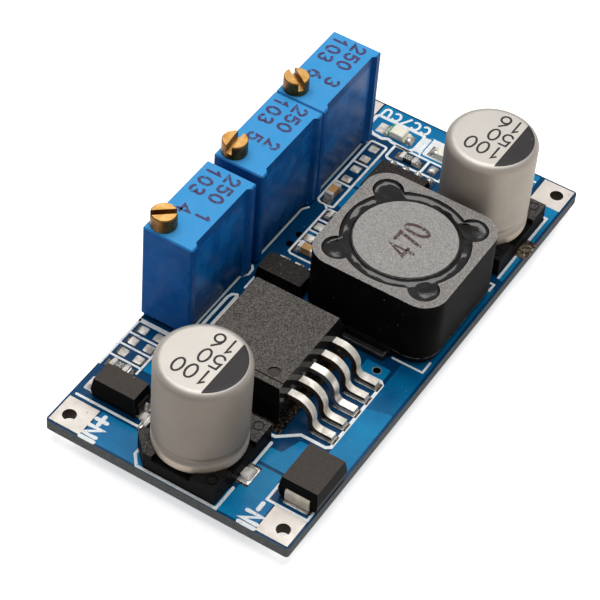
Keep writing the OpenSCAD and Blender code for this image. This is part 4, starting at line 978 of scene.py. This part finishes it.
# %% A small alphabet of pen strokes
RING = bow(0.5, 0.5, 0.5, 0.5, 90, 430, 17)
SIX = bow(0.5, 0.3, 0.5, 0.3, 150, -210, 16)[:-1]
LETTERS = {
    "0": [(RING, True)],
    "1": [([(0.2, 0.78), (0.55, 1.0), (0.55, 0.0)], False)],
    "2": [(bow(0.5, 0.72, 0.48, 0.28, 170, -25) + [(0.0, 0.0), (1.0, 0.0)], False)],
    "3": [(bow(0.48, 0.74, 0.46, 0.26, 150, -80) + bow(0.5, 0.26, 0.5, 0.26, 75, -150), False)],
    "4": [([(0.72, 0.0), (0.72, 1.0), (0.0, 0.3), (1.0, 0.3)], False)],
    "5": [([(0.92, 1.0), (0.14, 1.0), (0.06, 0.56)] + bow(0.48, 0.32, 0.5, 0.32, 100, -150),
           False)],
    "6": [(SIX, True), ([(0.0, 0.34), (0.1, 0.62), (0.7, 1.0)], False)],
    "7": [([(0.0, 1.0), (1.0, 1.0), (0.36, 0.0)], False)],
    "I": [([(0.5, 0.0), (0.5, 1.0)], False)],
    "N": [([(0.0, 0.0), (0.0, 1.0), (1.0, 0.0), (1.0, 1.0)], False)],
    "O": [(RING, True)],
    "U": [([(0.0, 1.0)] + bow(0.5, 0.4, 0.5, 0.4, 180, 360) + [(1.0, 1.0)], False)],
    "T": [([(0.0, 1.0), (1.0, 1.0)], False), ([(0.5, 1.0), (0.5, 0.0)], False)],
    "C": [(bow(0.5, 0.5, 0.5, 0.5, 50, 310, 12), False)],
    "V": [([(0.0, 1.0)] + bow(0.5, 0.32, 0.42, 0.32, 190, 350) + [(1.0, 1.0)], False)],
    "/": [([(0.1, 0.0), (0.9, 1.0)], False)],
    "+": [([(0.0, 0.5), (1.0, 0.5)], False), ([(0.5, 0.0), (0.5, 1.0)], False)],
    "-": [([(0.0, 0.5), (1.0, 0.5)], False)],
}


def write(store, text, start, along, size, pitch, width, low, high):
    along = Vector(along)
    up = Vector((-along.y, along.x))
    step = 0
    for place, letter in enumerate(text):
        for stroke, closed in LETTERS.get(letter, []):
            points = [Vector(start) + along * (place * pitch + x * size[0]) + up * (y * size[1])
                      for x, y in stroke]
            # strokes that cross end at slightly different heights, so no two faces coincide
            plate(store, pen(points, width, closed), low, high + 0.0005 * (step % 3))
            step += 1


print(len(LETTERS), "letters")

# %% [markdown]
# Copper areas. Under the varnish the board carries broad copper plates, with narrow dark gaps
# between them. They are 0.03 mm high, enough to catch light along their rims. Corners are
# rounded a little, as etching leaves them, and vias pass through round holes. The open hole of a
# via is a black disc of painted shade, and the one beside the regulator also shows a rim of bare
# copper.

# %% Copper plates on the top side
def rounded(points, radius=0.18, steps=3):
    made = []
    count = len(points)
    for i in range(count):
        here, before, after = (Vector(points[i]), Vector(points[i - 1]),
                               Vector(points[(i + 1) % count]))
        back, ahead = (before - here), (after - here)
        cut = min(radius, back.length * 0.45, ahead.length * 0.45)
        first, last = here + back.normalized() * cut, here + ahead.normalized() * cut
        for s in range(steps + 1):
            t = s / steps
            point = first * (1 - t) ** 2 + here * 2 * t * (1 - t) + last * t ** 2
            made.append((point.x, point.y))
    return made


def oblong(x0, x1, y0, y1):
    return [(x0, y0), (x1, y0), (x1, y1), (x0, y1)]


def circle(x, y, r, steps=20):
    return [(x + r * math.cos(2 * math.pi * i / steps), y + r * math.sin(2 * math.pi * i / steps))
            for i in range(steps)]


POUR_H, POUR_SINK = 0.03, 0.02
VIA_HOLE, VIA_SHADE_R, VIA_RIM = 0.3, 0.33, 0.43
VIAS = [(3.905, 5.95), (5.305, 5.85), (-4.245, -7.665)]
COPPER_TOP = [
    ([(-23.8, -1.0), (-23.8, 8.2), (-20.75, 8.2), (-20.75, 4.9), (-20.9, 4.4), (-21.5, -1.0)], []),
    ([(-23.8, -1.3), (-21.5, -1.3), (-21.5, -4.9), (-18.1, -4.9), (-18.1, -7.25), (-20.9, -7.5),
      (-20.9, -8.2), (-23.8, -8.2)], []),
    ([(-17.8, -4.9), (-16.1, -4.9), (-16.1, -5.9), (-14.2, -6.5), (-14.2, -7.4), (-17.8, -7.4)],
     []),
    ([(-15.0, -9.0), (-8.3, -9.0), (-7.7, -11.25), (-15.2, -11.25)], []),
    (oblong(-5.05, -3.6, -8.65, -6.35), [(-4.245, -7.665)]),
    ([(10.6, -10.9), (19.4, -10.9), (19.4, -8.2), (20.9, -8.2), (20.9, -11.25), (10.6, -11.25)],
     []),
    ([(20.0, -7.9), (23.8, -7.9), (23.8, -0.9), (20.0, -0.9)], []),
    ([(19.55, -0.6), (23.8, -0.6), (23.8, 8.2), (20.8, 8.2), (20.8, 9.4), (19.3, 9.4),
      (19.3, 7.4), (19.9, 6.9), (19.9, 2.9), (19.55, 2.6)], []),
    (oblong(4.75, 6.15, 4.75, 5.35), []),
    (oblong(10.2, 12.9, 4.4, 5.05), []),
    (oblong(13.2, 17.4, 4.5, 5.05), []),
    (oblong(-15.3, -13.4, 7.0, 8.05), []),
]
GROUND_STRIP = [(-8.3, -9.0), (9.4, -9.0), (9.4, -11.25), (-7.7, -11.25)]


def copper_plates():
    low, high = BOARD_TOP - POUR_SINK, BOARD_TOP + POUR_H
    store = ([], [])
    for outline, vias in COPPER_TOP:
        loops = [rounded(outline)] + [circle(x, y, VIA_HOLE) for x, y in vias]
        plate(store, loops, low, high)
    ride_on("copper_plates_top", *store, "mask_over_copper", "board_mask")
    store = ([], [])
    plate(store, [rounded(GROUND_STRIP)], low, high)
    ride_on("ground_plate", *store, "mask_over_ground", "board_mask")
    shade_discs, ring = ([], []), ([], [])
    for x, y in VIAS:
        plate(shade_discs, [circle(x, y, VIA_SHADE_R)], low, high + 0.004)
    x, y = VIAS[-1]
    plate(ring, [circle(x, y, VIA_RIM), circle(x, y, VIA_SHADE_R)], low, high + 0.006)
    ride_on("via_rim", *ring, "via_copper")
    ride_on("via_hole_shades", *shade_discs, "hole_dark")


copper_plates()

# %% [markdown]
# The legend is white ink: outlines round the parts and the names of the terminals. It is laid
# over the copper, so it is a little higher than the plates and lower than the tinned pads.
# Lines are 0.2 to 0.4 mm wide with round ends. Only the words that every such board needs are
# written: in, out, plus, minus and the two modes of the mode lamp.

# %% Legend lines
LEGEND_LOW, LEGEND_HIGH = BOARD_TOP - 0.01, BOARD_TOP + 0.045
LEGEND_LINES = [
    # round the input can
    (0.26, [(-18.5, -4.7), (-15.7, -4.7)]),
    (0.26, [(-21.3, -4.7), (-23.8, -4.7), (-23.8, 2.8), (-22.85, 3.57), (-22.2, 3.57)]),
    # round the output can
    (0.24, [(10.8, -10.78), (14.3, -10.78)]), (0.24, [(15.9, -10.78), (19.5, -10.78),
                                                      (19.5, -8.8)]),
    # round the coil
    (0.2, [(-2.3, -8.0), (-2.3, -10.87), (-1.0, -10.87)]),
    (0.2, [(9.0, -10.87), (9.85, -10.87), (9.85, -9.6)]),
    # round the regulator and its five feet
    (0.3, [(-15.0, -4.0), (-15.0, -4.6), (-13.67, -6.2), (-13.67, -8.5), (-13.4, -8.86),
            (-5.4, -8.86), (-5.1, -8.55), (-5.1, -7.0)]),
    (0.26, [(-14.6, 6.0), (-14.6, 6.6), (-14.3, 6.88), (-4.4, 6.88), (-3.95, 6.75),
            (-3.75, 6.35)]),
    (0.2, [(-9.5, 6.3), (-3.9, 6.3)]),
    (0.2, [(-2.7, 6.27), (-1.2, 6.27)]),
    # along the trimmers
    (0.2, [(-9.1, 7.32), (-1.9, 7.32), (-1.2, 6.86), (-0.5, 6.9), (-0.15, 7.15)]),
    (0.2, [(1.25, 7.34), (8.0, 7.34), (8.6, 6.95)]),
    (0.2, [(10.8, 7.2), (11.1, 7.36), (18.1, 7.36), (18.7, 7.05)]),
    # round the diodes
    (0.24, [(-20.4, 11.0), (-20.4, 4.9), (-19.6, 4.9)]),
    (0.24, [(-18.9, -7.5), (-20.75, -7.5), (-20.75, -11.2), (-15.2, -11.2)]),
    # the grid of chips by the input diode
    (0.2, [(-15.9, 8.24), (-10.75, 8.24)]), (0.2, [(-16.6, 11.38), (-10.75, 11.38)]),
    (0.2, [(-15.25, 8.4), (-15.25, 11.3)]), (0.2, [(-13.8, 8.4), (-13.8, 11.3)]),
    (0.2, [(-12.4, 8.4), (-12.4, 11.3)]), (0.42, [(-10.8, 8.3), (-10.8, 11.3)]),
    # the row of chips between coil and trimmers
    (0.2, [(2.95, 3.2), (2.95, 5.3), (3.15, 5.55), (9.2, 5.55), (9.4, 5.3), (9.4, 4.4)]),
    (0.2, [(4.65, 4.4), (4.65, 5.4)]), (0.2, [(6.3, 4.4), (6.3, 5.4)]),
    (0.2, [(7.85, 4.4), (7.85, 5.4)]),
    (0.2, [(9.3, 5.5), (9.75, 6.0)]), (0.2, [(15.87, 5.3), (15.87, 6.8)]),
    (0.2, [(12.82, 5.3), (12.82, 6.8)]),
    # round the sense resistor, and its neighbour below
    (0.22, [(17.95, 1.1), (17.95, -0.75), (18.6, -0.75)]), (0.22, [(19.75, 1.1), (19.75, -0.4)]),
    (0.2, bow(-10.15, 8.0, 0.65, 0.65, 180, 265)),
    # round the further lamp
    (0.34, [(22.3, 2.45), (22.3, -1.6), (20.2, -1.6), (19.95, -1.3), (19.95, 2.2),
            (20.2, 2.45), (22.3, 2.45)]),
]
LEGEND_RINGS = [
    (0.22, [(9.85, 5.2), (18.9, 5.2), (19.05, 5.35), (19.05, 6.7), (18.9, 6.85), (10.0, 6.85),
            (9.75, 6.6), (9.75, 5.35)]),
    (0.24, [(18.1, 1.2), (19.75, 1.2), (19.75, 4.75), (18.1, 4.75), (17.9, 4.5), (17.9, 1.45)]),
    (0.34, [(20.3, 3.1), (22.1, 3.1), (22.3, 3.3), (22.3, 7.9), (22.1, 8.1), (20.5, 8.1),
            (20.2, 7.7), (19.9, 7.2), (19.8, 6.2), (20.1, 5.7), (19.9, 5.2), (19.8, 3.4)]),
]


def legend_lines():
    store = ([], [])
    for step, (width, points) in enumerate(LEGEND_LINES):
        plate(store, pen(points, width), LEGEND_LOW, LEGEND_HIGH + 0.0004 * (step % 4))
    for width, points in LEGEND_RINGS:
        loops = pen(rounded(points, 0.15), width, closed=True)
        area = [abs(sum(a[0] * b[1] - b[0] * a[1] for a, b in zip(loop, loop[1:] + loop[:1])))
                for loop in loops]
        if area[0] < area[1]:
            loops.reverse()
        plate(store, loops, LEGEND_LOW, LEGEND_HIGH)
    plate(store, [oblong(20.1, 22.2, 2.4, 3.2)], LEGEND_LOW, LEGEND_HIGH + 0.0024)
    ride_on("legend_lines", *store, "white_ink")


legend_lines()

# %% [markdown]
# The words stand beside the terminals and the further lamp. Each is one row of a table, drawn
# with the alphabet above, and all of them together are one piece.

# %% Legend words
# Text, start, way along, size of a letter, pitch, width of the pen
LEGEND_WORDS = [
    ("I", (-23.95, 6.95), (1, 0), (0.3, 1.3), 1.0, 0.38),
    ("N", (-23.35, 7.05), (1, 0), (0.9, 1.3), 1.0, 0.38),
    ("+", (-22.12, 7.15), (1, 0), (1.0, 1.0), 1.0, 0.38),
    ("I", (-23.95, -8.2), (1, 0), (0.3, 1.4), 1.0, 0.38),
    ("N", (-23.35, -8.2), (1, 0), (0.85, 1.4), 1.0, 0.38),
    ("-", (-22.0, -8.2), (1, 0), (0.76, 1.46), 1.0, 0.38),
    ("CC/CV", (23.45, 3.15), (0, 1), (0.72, 1.0), 1.0, 0.24),
    ("OUT", (20.95, -7.75), (1, 0), (0.6, 1.2), 0.85, 0.24),
    ("-", (23.3, -7.75), (1, 0), (0.5, 1.2), 0.85, 0.24),
]


def legend_words():
    store = ([], [])
    for text, start, along, size, pitch, width in LEGEND_WORDS:
        write(store, text, start, along, size, pitch, width, LEGEND_LOW, LEGEND_HIGH + 0.002)
    ride_on("legend_words", *store, "white_ink")


legend_words()

# %% [markdown]
# Solder climbs the sides of everything it holds, in a hollow curve. Each joint is a low mound:
# a stack of rounded rectangles that shrink from the land's outline to the foot's, the height
# growing slowly at first and then steeply. A little seeded unevenness keeps the mounds from
# looking stamped. Bare lands carry a thin cushion of solder instead, which bulges. The joints
# by the input are painted nearly white, as lit solder, and those by the output are stained with
# flux.

# %% Shapes of solder
LAND_TOP = box_mm("solder_lands")[1].z
REGULATOR_PITCH, AMPLIFIER_PITCH = 1.7, 1.27
chance = random.Random(7)


def corner_ring(cx, cy, half_x, half_y, radius, steps=4):
    radius = min(radius, half_x * 0.95, half_y * 0.95)
    ring = []
    for sx, sy, start in ((1, 1, 0), (-1, 1, 90), (-1, -1, 180), (1, -1, 270)):
        for s in range(steps + 1):
            a = math.radians(start + 90 * s / steps)
            ring.append((cx + sx * (half_x - radius) + radius * math.cos(a),
                         cy + sy * (half_y - radius) + radius * math.sin(a)))
    return ring


def stack(store, rings):
    verts, faces = store
    base, size = len(verts), len(rings[0][0])
    for ring, z in rings:
        verts += [(x, y, z[i] if isinstance(z, list) else z) for i, (x, y) in enumerate(ring)]
    for level in range(len(rings) - 1):
        row = base + level * size
        for i in range(size):
            j = (i + 1) % size
            faces.append((row + i, row + j, row + size + j, row + size + i))
    faces.append(tuple(base + i for i in reversed(range(size))))
    faces.append(tuple(base + (len(rings) - 1) * size + i for i in range(size)))


def mound(store, cx, cy, foot, land, height, levels=6, hollow=2.2, low=None):
    low = LAND_TOP if low is None else low
    rings = [(corner_ring(cx, cy, land[0] / 2, land[1] / 2, 0.12), low - 0.03)]
    lean = chance.uniform(-0.12, 0.12)
    for level in range(levels + 1):
        t = level / levels
        half_x = (land[0] * (1 - t) + foot[0] * t) / 2
        half_y = (land[1] * (1 - t) + foot[1] * t) / 2
        ring = corner_ring(cx, cy, half_x, half_y, 0.12)
        z = [low + 0.006 + height * t ** hollow * (1 + lean * (x - cx) / max(half_x, 0.1)
             + 0.08 * noise.noise(Vector((x * 3, y * 3, 1.7)))) for x, y in ring]
        rings.append((ring, z))
    stack(store, rings)


def cushion(store, cx, cy, land, height, levels=5, low=None):
    low = LAND_TOP if low is None else low
    rings = [(corner_ring(cx, cy, land[0] / 2, land[1] / 2, 0.1), low - 0.03)]
    for level in range(levels + 1):
        t = level / levels
        shrink = 1 - 0.96 * (1 - math.cos(t * math.pi / 2))
        rise = math.sin(t * math.pi / 2)
        ring = corner_ring(cx, cy, land[0] / 2 * shrink, land[1] / 2 * shrink, 0.14)
        z = [low + height * rise * (1 + 0.15 * noise.noise(Vector((x * 2.3, y * 2.3, 4))))
             for x, y in ring]
        rings.append((ring, z))
    stack(store, rings)


print("helpers: corner_ring, stack, mound, cushion")

# %% [markdown]
# The joints of the larger parts come first. Their places are read from the boxes of the leads
# and strips, so each mound stands at its own foot.

# %% Solder of the larger parts
def solder_joints():
    store, lit_store = ([], []), ([], [])
    low, high = box_mm("regulator_leads")
    middle = (low.x + high.x) / 2
    for k in range(-2, 3):
        mound(store, middle + REGULATOR_PITCH * k, low.y + 0.9, (0.76, 1.7), (0.94, 2.0), 0.2)
    low, high = box_mm("amplifier_leads")
    middle = (low.y + high.y) / 2
    for k in range(4):
        y = middle + AMPLIFIER_PITCH * (k - 1.5)
        mound(store, low.x + 0.32, y, (0.6, 0.4), (0.9, 0.62), 0.16)
        cushion(store, high.x - 0.1, y, (1.0, 0.72), 0.8)
    low, high = box_mm("small_regulator_leads")
    for y in (low.y + 0.35, (low.y + high.y) / 2, high.y - 0.35):
        mound(store, high.x - 0.05, y, (0.5, 0.66), (0.9, 0.9), 0.26)
    low, high = box_mm("input_capacitor_strips")
    middle = (low.x + high.x) / 2
    for y in (low.y + 0.35, high.y - 0.35):
        mound(store, middle, y, (0.86, 0.7), (1.9, 1.1), 0.17)
        cushion(lit_store, middle, y - 0.05, (1.35, 0.85), 0.38)
    low, high = box_mm("input_diode_strips")
    middle = (low.x + high.x) / 2
    mound(store, middle, low.y + 0.1, (1.3, 0.3), (1.7, 0.9), 0.24)
    mound(lit_store, middle, high.y + 0.3, (1.0, 0.3), (1.5, 1.2), 0.5, low=BOARD_TOP + 0.02)
    cushion(lit_store, middle + 0.15, low.y - 0.1, (0.5, 0.42), 1.0)
    cushion(lit_store, middle - 0.5, low.y - 0.4, (0.9, 0.7), 0.32)
    ride_on("painted_lit_joints", *lit_store, "white_solder", smooth=50)
    low, high = box_mm("catch_diode_strips")
    for x in (low.x + 0.1, high.x - 0.1):
        mound(store, x, (low.y + high.y) / 2, (0.36, 2.1), (0.6, 2.25), 0.12)
    ride_on("solder_joints", *store, "solder", "solder", smooth=50)


solder_joints()

# %% [markdown]
# Chips and lamps have a small joint at each end, and the spare lands only a skin of tin. Old
# flux has stained the joints under the output can and the edge of the regulator's tab, where its
# pale specks are painted glints.

# %% Solder of the chips and spare lands
# Centre of each chip or pair of lands, and whether its length runs along Y
CHIPS = [(18.76, 2.776, True), (-16.115, 9.7, True), (8.655, 4.14, True), (11.1, 6.06, False),
         (3.805, 4.14, True)]
LAMPS = [(20.985, 5.16), (20.985, 0.36)]
BARE_PAIRS = [(-14.545, 9.7, True), (-13.084, 9.7, True), (-11.624, 9.7, True),
              (14.29, 6.06, False), (17.39, 6.06, False), (5.405, 4.14, True),
              (7.055, 4.14, True)]


def both_ends(x, y, upright, reach):
    return [(x, y + side) if upright else (x + side, y) for side in (-reach, reach)]


def chip_solder():
    store = ([], [])
    for x, y, upright in CHIPS:
        for centre in both_ends(x, y, upright, 0.86):
            foot, land = ((0.7, 0.16), (0.86, 0.46)) if upright else ((0.16, 0.7), (0.46, 0.86))
            mound(store, *centre, foot, land, 0.24, hollow=1.5)
    for x, y in LAMPS:
        mound(store, x, y + 1.1, (1.1, 0.2), (1.3, 0.6), 0.16, hollow=1.5)
        mound(store, x, y - 1.1, (1.1, 0.2), (1.3, 0.6), 0.16, hollow=1.5)
    cushion(store, LAMPS[0][0] - 0.2, LAMPS[0][1] - 1.2, (0.85, 0.85), 0.46)
    cushion(store, LAMPS[1][0] - 0.2, LAMPS[1][1] + 0.9, (0.85, 0.85), 0.46)
    cushion(store, 18.85, 0.35, (0.95, 0.85), 0.3)
    ride_on("chip_solder", *store, "solder", "solder", smooth=50)
    store = ([], [])
    for x, y, upright in BARE_PAIRS:
        for centre in both_ends(x, y, upright, 0.75):
            cushion(store, *centre, (0.86, 0.78) if upright else (0.78, 0.86), 0.05)
    cushion(store, LAMPS[0][0], LAMPS[0][1] + 1.6, (1.3, 1.0), 0.05)
    ride_on("bare_land_tin", *store, "land_tin", smooth=50)
    store = ([], [])
    low, high = box_mm("output_capacitor_strips")
    for y in (low.y + 0.5, high.y - 0.5):
        mound(store, (low.x + high.x) / 2, y, (0.86, 0.7), (1.7, 0.9), 0.17)
    ride_on("stained_solder", *store, "dull_solder", smooth=50)
    store = ([], [])
    low, high = box_mm("regulator_body")
    cushion(store, (low.x + high.x) / 2 - 0.2, low.y, (10.4, 0.86), 0.26)
    ride_on("regulator_solder_rim", *store, "flux_solder", smooth=50)


chip_solder()

# %% [markdown]
# The gap between the coil's drum and its shield is filled with black glue. It wets both walls
# and climbs them, and it pools in the four corner lobes, so its skin is a channel with bright
# lines along both rims. The skin is built in polar steps: a ring of radii for each direction,
# from the drum out to the lobed wall, with a height that depends on the distance to either.

# %% Glue skin in the coil
SHIELD_BORE, LOBE_R, LOBE_PLACE = 5.55, 1.35, 4.1
OVERLAP = 0.03


def lobed_wall(angle, bore, lobe, place):
    reach = bore
    for corner in range(4):
        toward = math.radians(45 + 90 * corner)
        off = (angle - toward + math.pi) % (2 * math.pi) - math.pi
        distance = place * math.sqrt(2)
        across = distance * math.sin(off)
        if abs(off) < math.pi / 2 and abs(across) < lobe:
            reach = max(reach, distance * math.cos(off) + math.sqrt(lobe ** 2 - across ** 2))
    return reach


def glue_skin():
    low, high = box_mm("inductor_glue")
    centre = (low + high) / 2
    drum_low, drum_high = box_mm("inductor_drum")
    drum_r = (drum_high.x - drum_low.x) / 2
    directions, radii = 192, 14
    verts, faces = [], []
    for under in (False, True):
        for d in range(directions):
            a = 2 * math.pi * d / directions
            wall = lobed_wall(a, SHIELD_BORE, LOBE_R, LOBE_PLACE) + OVERLAP
            for k in range(radii + 1):
                t = k / radii
                t = t - 0.11 * math.sin(2 * math.pi * t) / 1.2
                r = (drum_r - OVERLAP) * (1 - t) + wall * t
                x, y = centre.x + r * math.cos(a), centre.y + r * math.sin(a)
                rim_in, rim_out = r - drum_r + OVERLAP, wall - r
                swell = noise.noise(Vector((x * 0.7, y * 0.7, 2.0)))
                climb = 0.26 + 0.12 * noise.noise(Vector((x * 0.5, y * 0.5, 9.0)))
                z = high.z - 0.05 + 0.09 * (swell + 0.6)
                z += climb * (math.exp(-rim_out / 0.17) + 0.9 * math.exp(-rim_in / 0.14))
                verts.append((x, y, high.z - 0.25 if under else min(z, high.z + 0.36)))
    row = radii + 1
    total = directions * row
    for d in range(directions):
        e = (d + 1) % directions
        for k in range(radii):
            a, b, c, f = d * row + k, d * row + k + 1, e * row + k + 1, e * row + k
            faces.append((a, b, c, f))
            faces.append((total + a, total + f, total + c, total + b))
        for k, flip in ((0, False), (radii, True)):
            quad = (d * row + k, e * row + k, total + e * row + k, total + d * row + k)
            faces.append(quad[::-1] if flip else quad)
    ride_on("glue_skin", verts, faces, "dark_resin", "dark_resin", smooth=60)


glue_skin()

# %% [markdown]
# The regulator's top has one round mark near a corner, where a pin in the mould left the
# surface smooth. It is a thin disc with the finish of the smoother bodies, sunk so far that it
# stays in its round recess.

# %% Index mark on the regulator
INDEX_ASIDE, INDEX_R = (-3.4, -2.75), 0.53


def regulator_index():
    low, high = box_mm("regulator_body")
    store = ([], [])
    spot = circle((low.x + high.x) / 2 + INDEX_ASIDE[0], (low.y + high.y) / 2 + INDEX_ASIDE[1],
                  INDEX_R)
    plate(store, [spot], high.z - 0.2, high.z - 0.14)
    ride_on("regulator_index", *store, "diode_moulding")


regulator_index()

# %% [markdown]
# The coil's moulded base has a low lip at each end, over the clip. Only its rim shows between
# the coil and the regulator. It is a shallow tray, made of a rounded block and a rim that
# stands on it, which is painted paler as a highlight along its edge.

# %% Lips of the coil base
LIP_HALF, LIP_WALL = 0.5, 0.12


def coil_lips():
    low, high = box_mm("inductor_clips")
    store, rims = ([], []), ([], [])
    middle, long = (low.y + high.y) / 2 - 0.1, high.y - low.y + 0.9
    for x in (low.x - 0.12, high.x + 0.12):
        outer = corner_ring(x, middle, LIP_HALF, long / 2, 0.15)
        inner = corner_ring(x, middle, LIP_HALF - LIP_WALL, long / 2 - LIP_WALL, 0.1)
        plate(store, [outer], LAND_TOP - 0.02, LAND_TOP + 0.45)
        plate(rims, [outer, inner], LAND_TOP + 0.4, LAND_TOP + 0.6)
    ride_on("coil_lips", *store, "lip_plastic", "black_plastic")
    ride_on("coil_lip_rims", *rims, "rim_plastic", "black_plastic")


coil_lips()

# %% [markdown]
# Each can carries a dark segment on its lid, which marks the negative side, and three lines of
# plain figures. The segment runs over the rounded shoulder, so it is a small grid that follows
# the lid's profile. The figures are written with a thin pen, read from the board's side.

# %% Print on the cans
CAN_EDGE = 0.7
CAN_FIGURES = (("100", -1.6), ("50", 0.3), ("16", 2.15))


def lid_height(r, top, radius, edge):
    over = max(0.0, r - (radius - edge))
    return top - (edge - math.sqrt(max(edge ** 2 - over ** 2, 0.0)))


def can_print(can, name):
    low, high = box_mm(can)
    cx, cy, radius = (low.x + high.x) / 2, (low.y + high.y) / 2, (high.x - low.x) / 2
    chord, arc, columns, rows = 1.75, 3.5, 40, 10
    half = math.sqrt(arc ** 2 - chord ** 2)
    verts, faces = [], []
    for under in (0.012, -0.03):
        for i in range(columns + 1):
            x = -half + 2 * half * i / columns
            far = max(math.sqrt(arc ** 2 - x ** 2), chord + 0.004)
            for j in range(rows + 1):
                y = -(chord + (far - chord) * j / rows)
                z = lid_height(math.hypot(x, y), high.z, radius, CAN_EDGE)
                verts.append((cx + x, cy + y, z + under))
    row, total = rows + 1, (columns + 1) * (rows + 1)
    for i in range(columns):
        for j in range(rows):
            a, b, c, d = i * row + j, (i + 1) * row + j, (i + 1) * row + j + 1, i * row + j + 1
            faces.append((a, d, c, b))
            faces.append((total + a, total + b, total + c, total + d))
    border = ([i * row for i in range(columns + 1)]
              + [columns * row + j for j in range(1, rows + 1)]
              + [i * row + rows for i in range(columns - 1, -1, -1)]
              + [j for j in range(rows - 1, 0, -1)])
    for a, b in zip(border, border[1:] + border[:1]):
        faces.append((a, b, total + b, total + a))
    ride_on(name + "_segment", verts, faces, "grey_ink", smooth=40)
    store = ([], [])
    for text, x in CAN_FIGURES:
        write(store, text, (cx + x + 0.72, cy - 1.5), (0, 1), (0.82, 1.44), 1.18, 0.19,
              high.z - 0.02, high.z + 0.01)
    ride_on(name + "_figures", *store, "grey_ink")


can_print("input_capacitor_can", "input_can")
can_print("output_capacitor_can", "output_can")

# %% [markdown]
# The coil and the trimmers carry plain numbers too, stamped with a bolder pen and slightly
# broken at the edges. Those on the trimmers are read from behind the board, so they run
# backwards along X.

# %% Stamped figures on the coil and the trimmers
def coil_figures():
    low, high = box_mm("inductor_drum")
    cx, cy = (low.x + high.x) / 2, (low.y + high.y) / 2
    store = ([], [])
    write(store, "470", (cx - 1.85, cy - 1.4), (1, 0), (0.95, 2.15), 1.38, 0.32,
          high.z - 0.02, high.z + 0.012)
    ride_on("coil_figures", *store, "brown_ink")


def trimmer_figures(trimmer, upper, lower):
    low, high = box_mm(trimmer + "_housing")
    store = ([], [])
    for figures, x, y in ((upper[:3], 8.95, 2.35), (upper[4:], 4.1, 2.05),
                          (lower[:3], 8.95, 4.2), (lower[4:], 4.1, 3.8)):
        write(store, figures, (low.x + x, low.y + y), (-1, 0), (0.78, 1.16), 1.22, 0.27,
              high.z - 0.02, high.z + 0.012)
    ride_on(trimmer + "_figures", *store, "violet_ink")


coil_figures()
trimmer_figures("voltage_trimmer", "250 1", "103 4")
trimmer_figures("indicator_trimmer", "250 2", "103 5")
trimmer_figures("current_trimmer", "250 3", "103 6")

# %% [markdown]
# Chip resistors carry three or four tiny pale figures. The mode lamps are small chips: a
# cream lens on a carrier, whose top bulges in a low cap, with a green stripe across one end
# that marks the polarity.

# %% Figures on the resistors, stripes on the lamps
RESISTOR_FIGURES = [("1000", 0.26, (0.18, 0.5), 0.07), ("1001", 0.25, (0.18, 0.48), 0.065),
                    ("470", 0.27, (0.18, 0.42), 0.06)]


def resistor_figures():
    top = box_mm("chip_resistor_bodies")[1].z
    store = ([], [])
    for (text, pitch, size, width), (x, y, _) in zip(RESISTOR_FIGURES, CHIPS):
        long = (len(text) - 1) * pitch + size[0]
        write(store, text, (x + size[1] / 2, y - long / 2), (0, 1), size, pitch, width,
              top - 0.02, top + 0.008)
    ride_on("resistor_figures", *store, "pale_ink", "resistor_coat")


def lamp_stripes():
    low, high = box_mm("led_lenses")
    store = ([], [])
    for x, y in LAMPS:
        cushion(store, x, y, (high.x - low.x - 0.08, 1.34), 0.14, low=high.z)
    ride_on("lamp_caps", *store, "clear_lens", "clear_lens", smooth=50)
    store = ([], [])
    for y in (LAMPS[0][1] + 0.74, LAMPS[1][1] - 0.74):
        outline = oblong(low.x - 0.015, high.x + 0.015, y - 0.07, y + 0.07)
        plate(store, [outline], low.z - 0.15, high.z + 0.015)
    ride_on("lamp_stripes", *store, "green_ink", "green_carrier")


resistor_figures()
lamp_stripes()
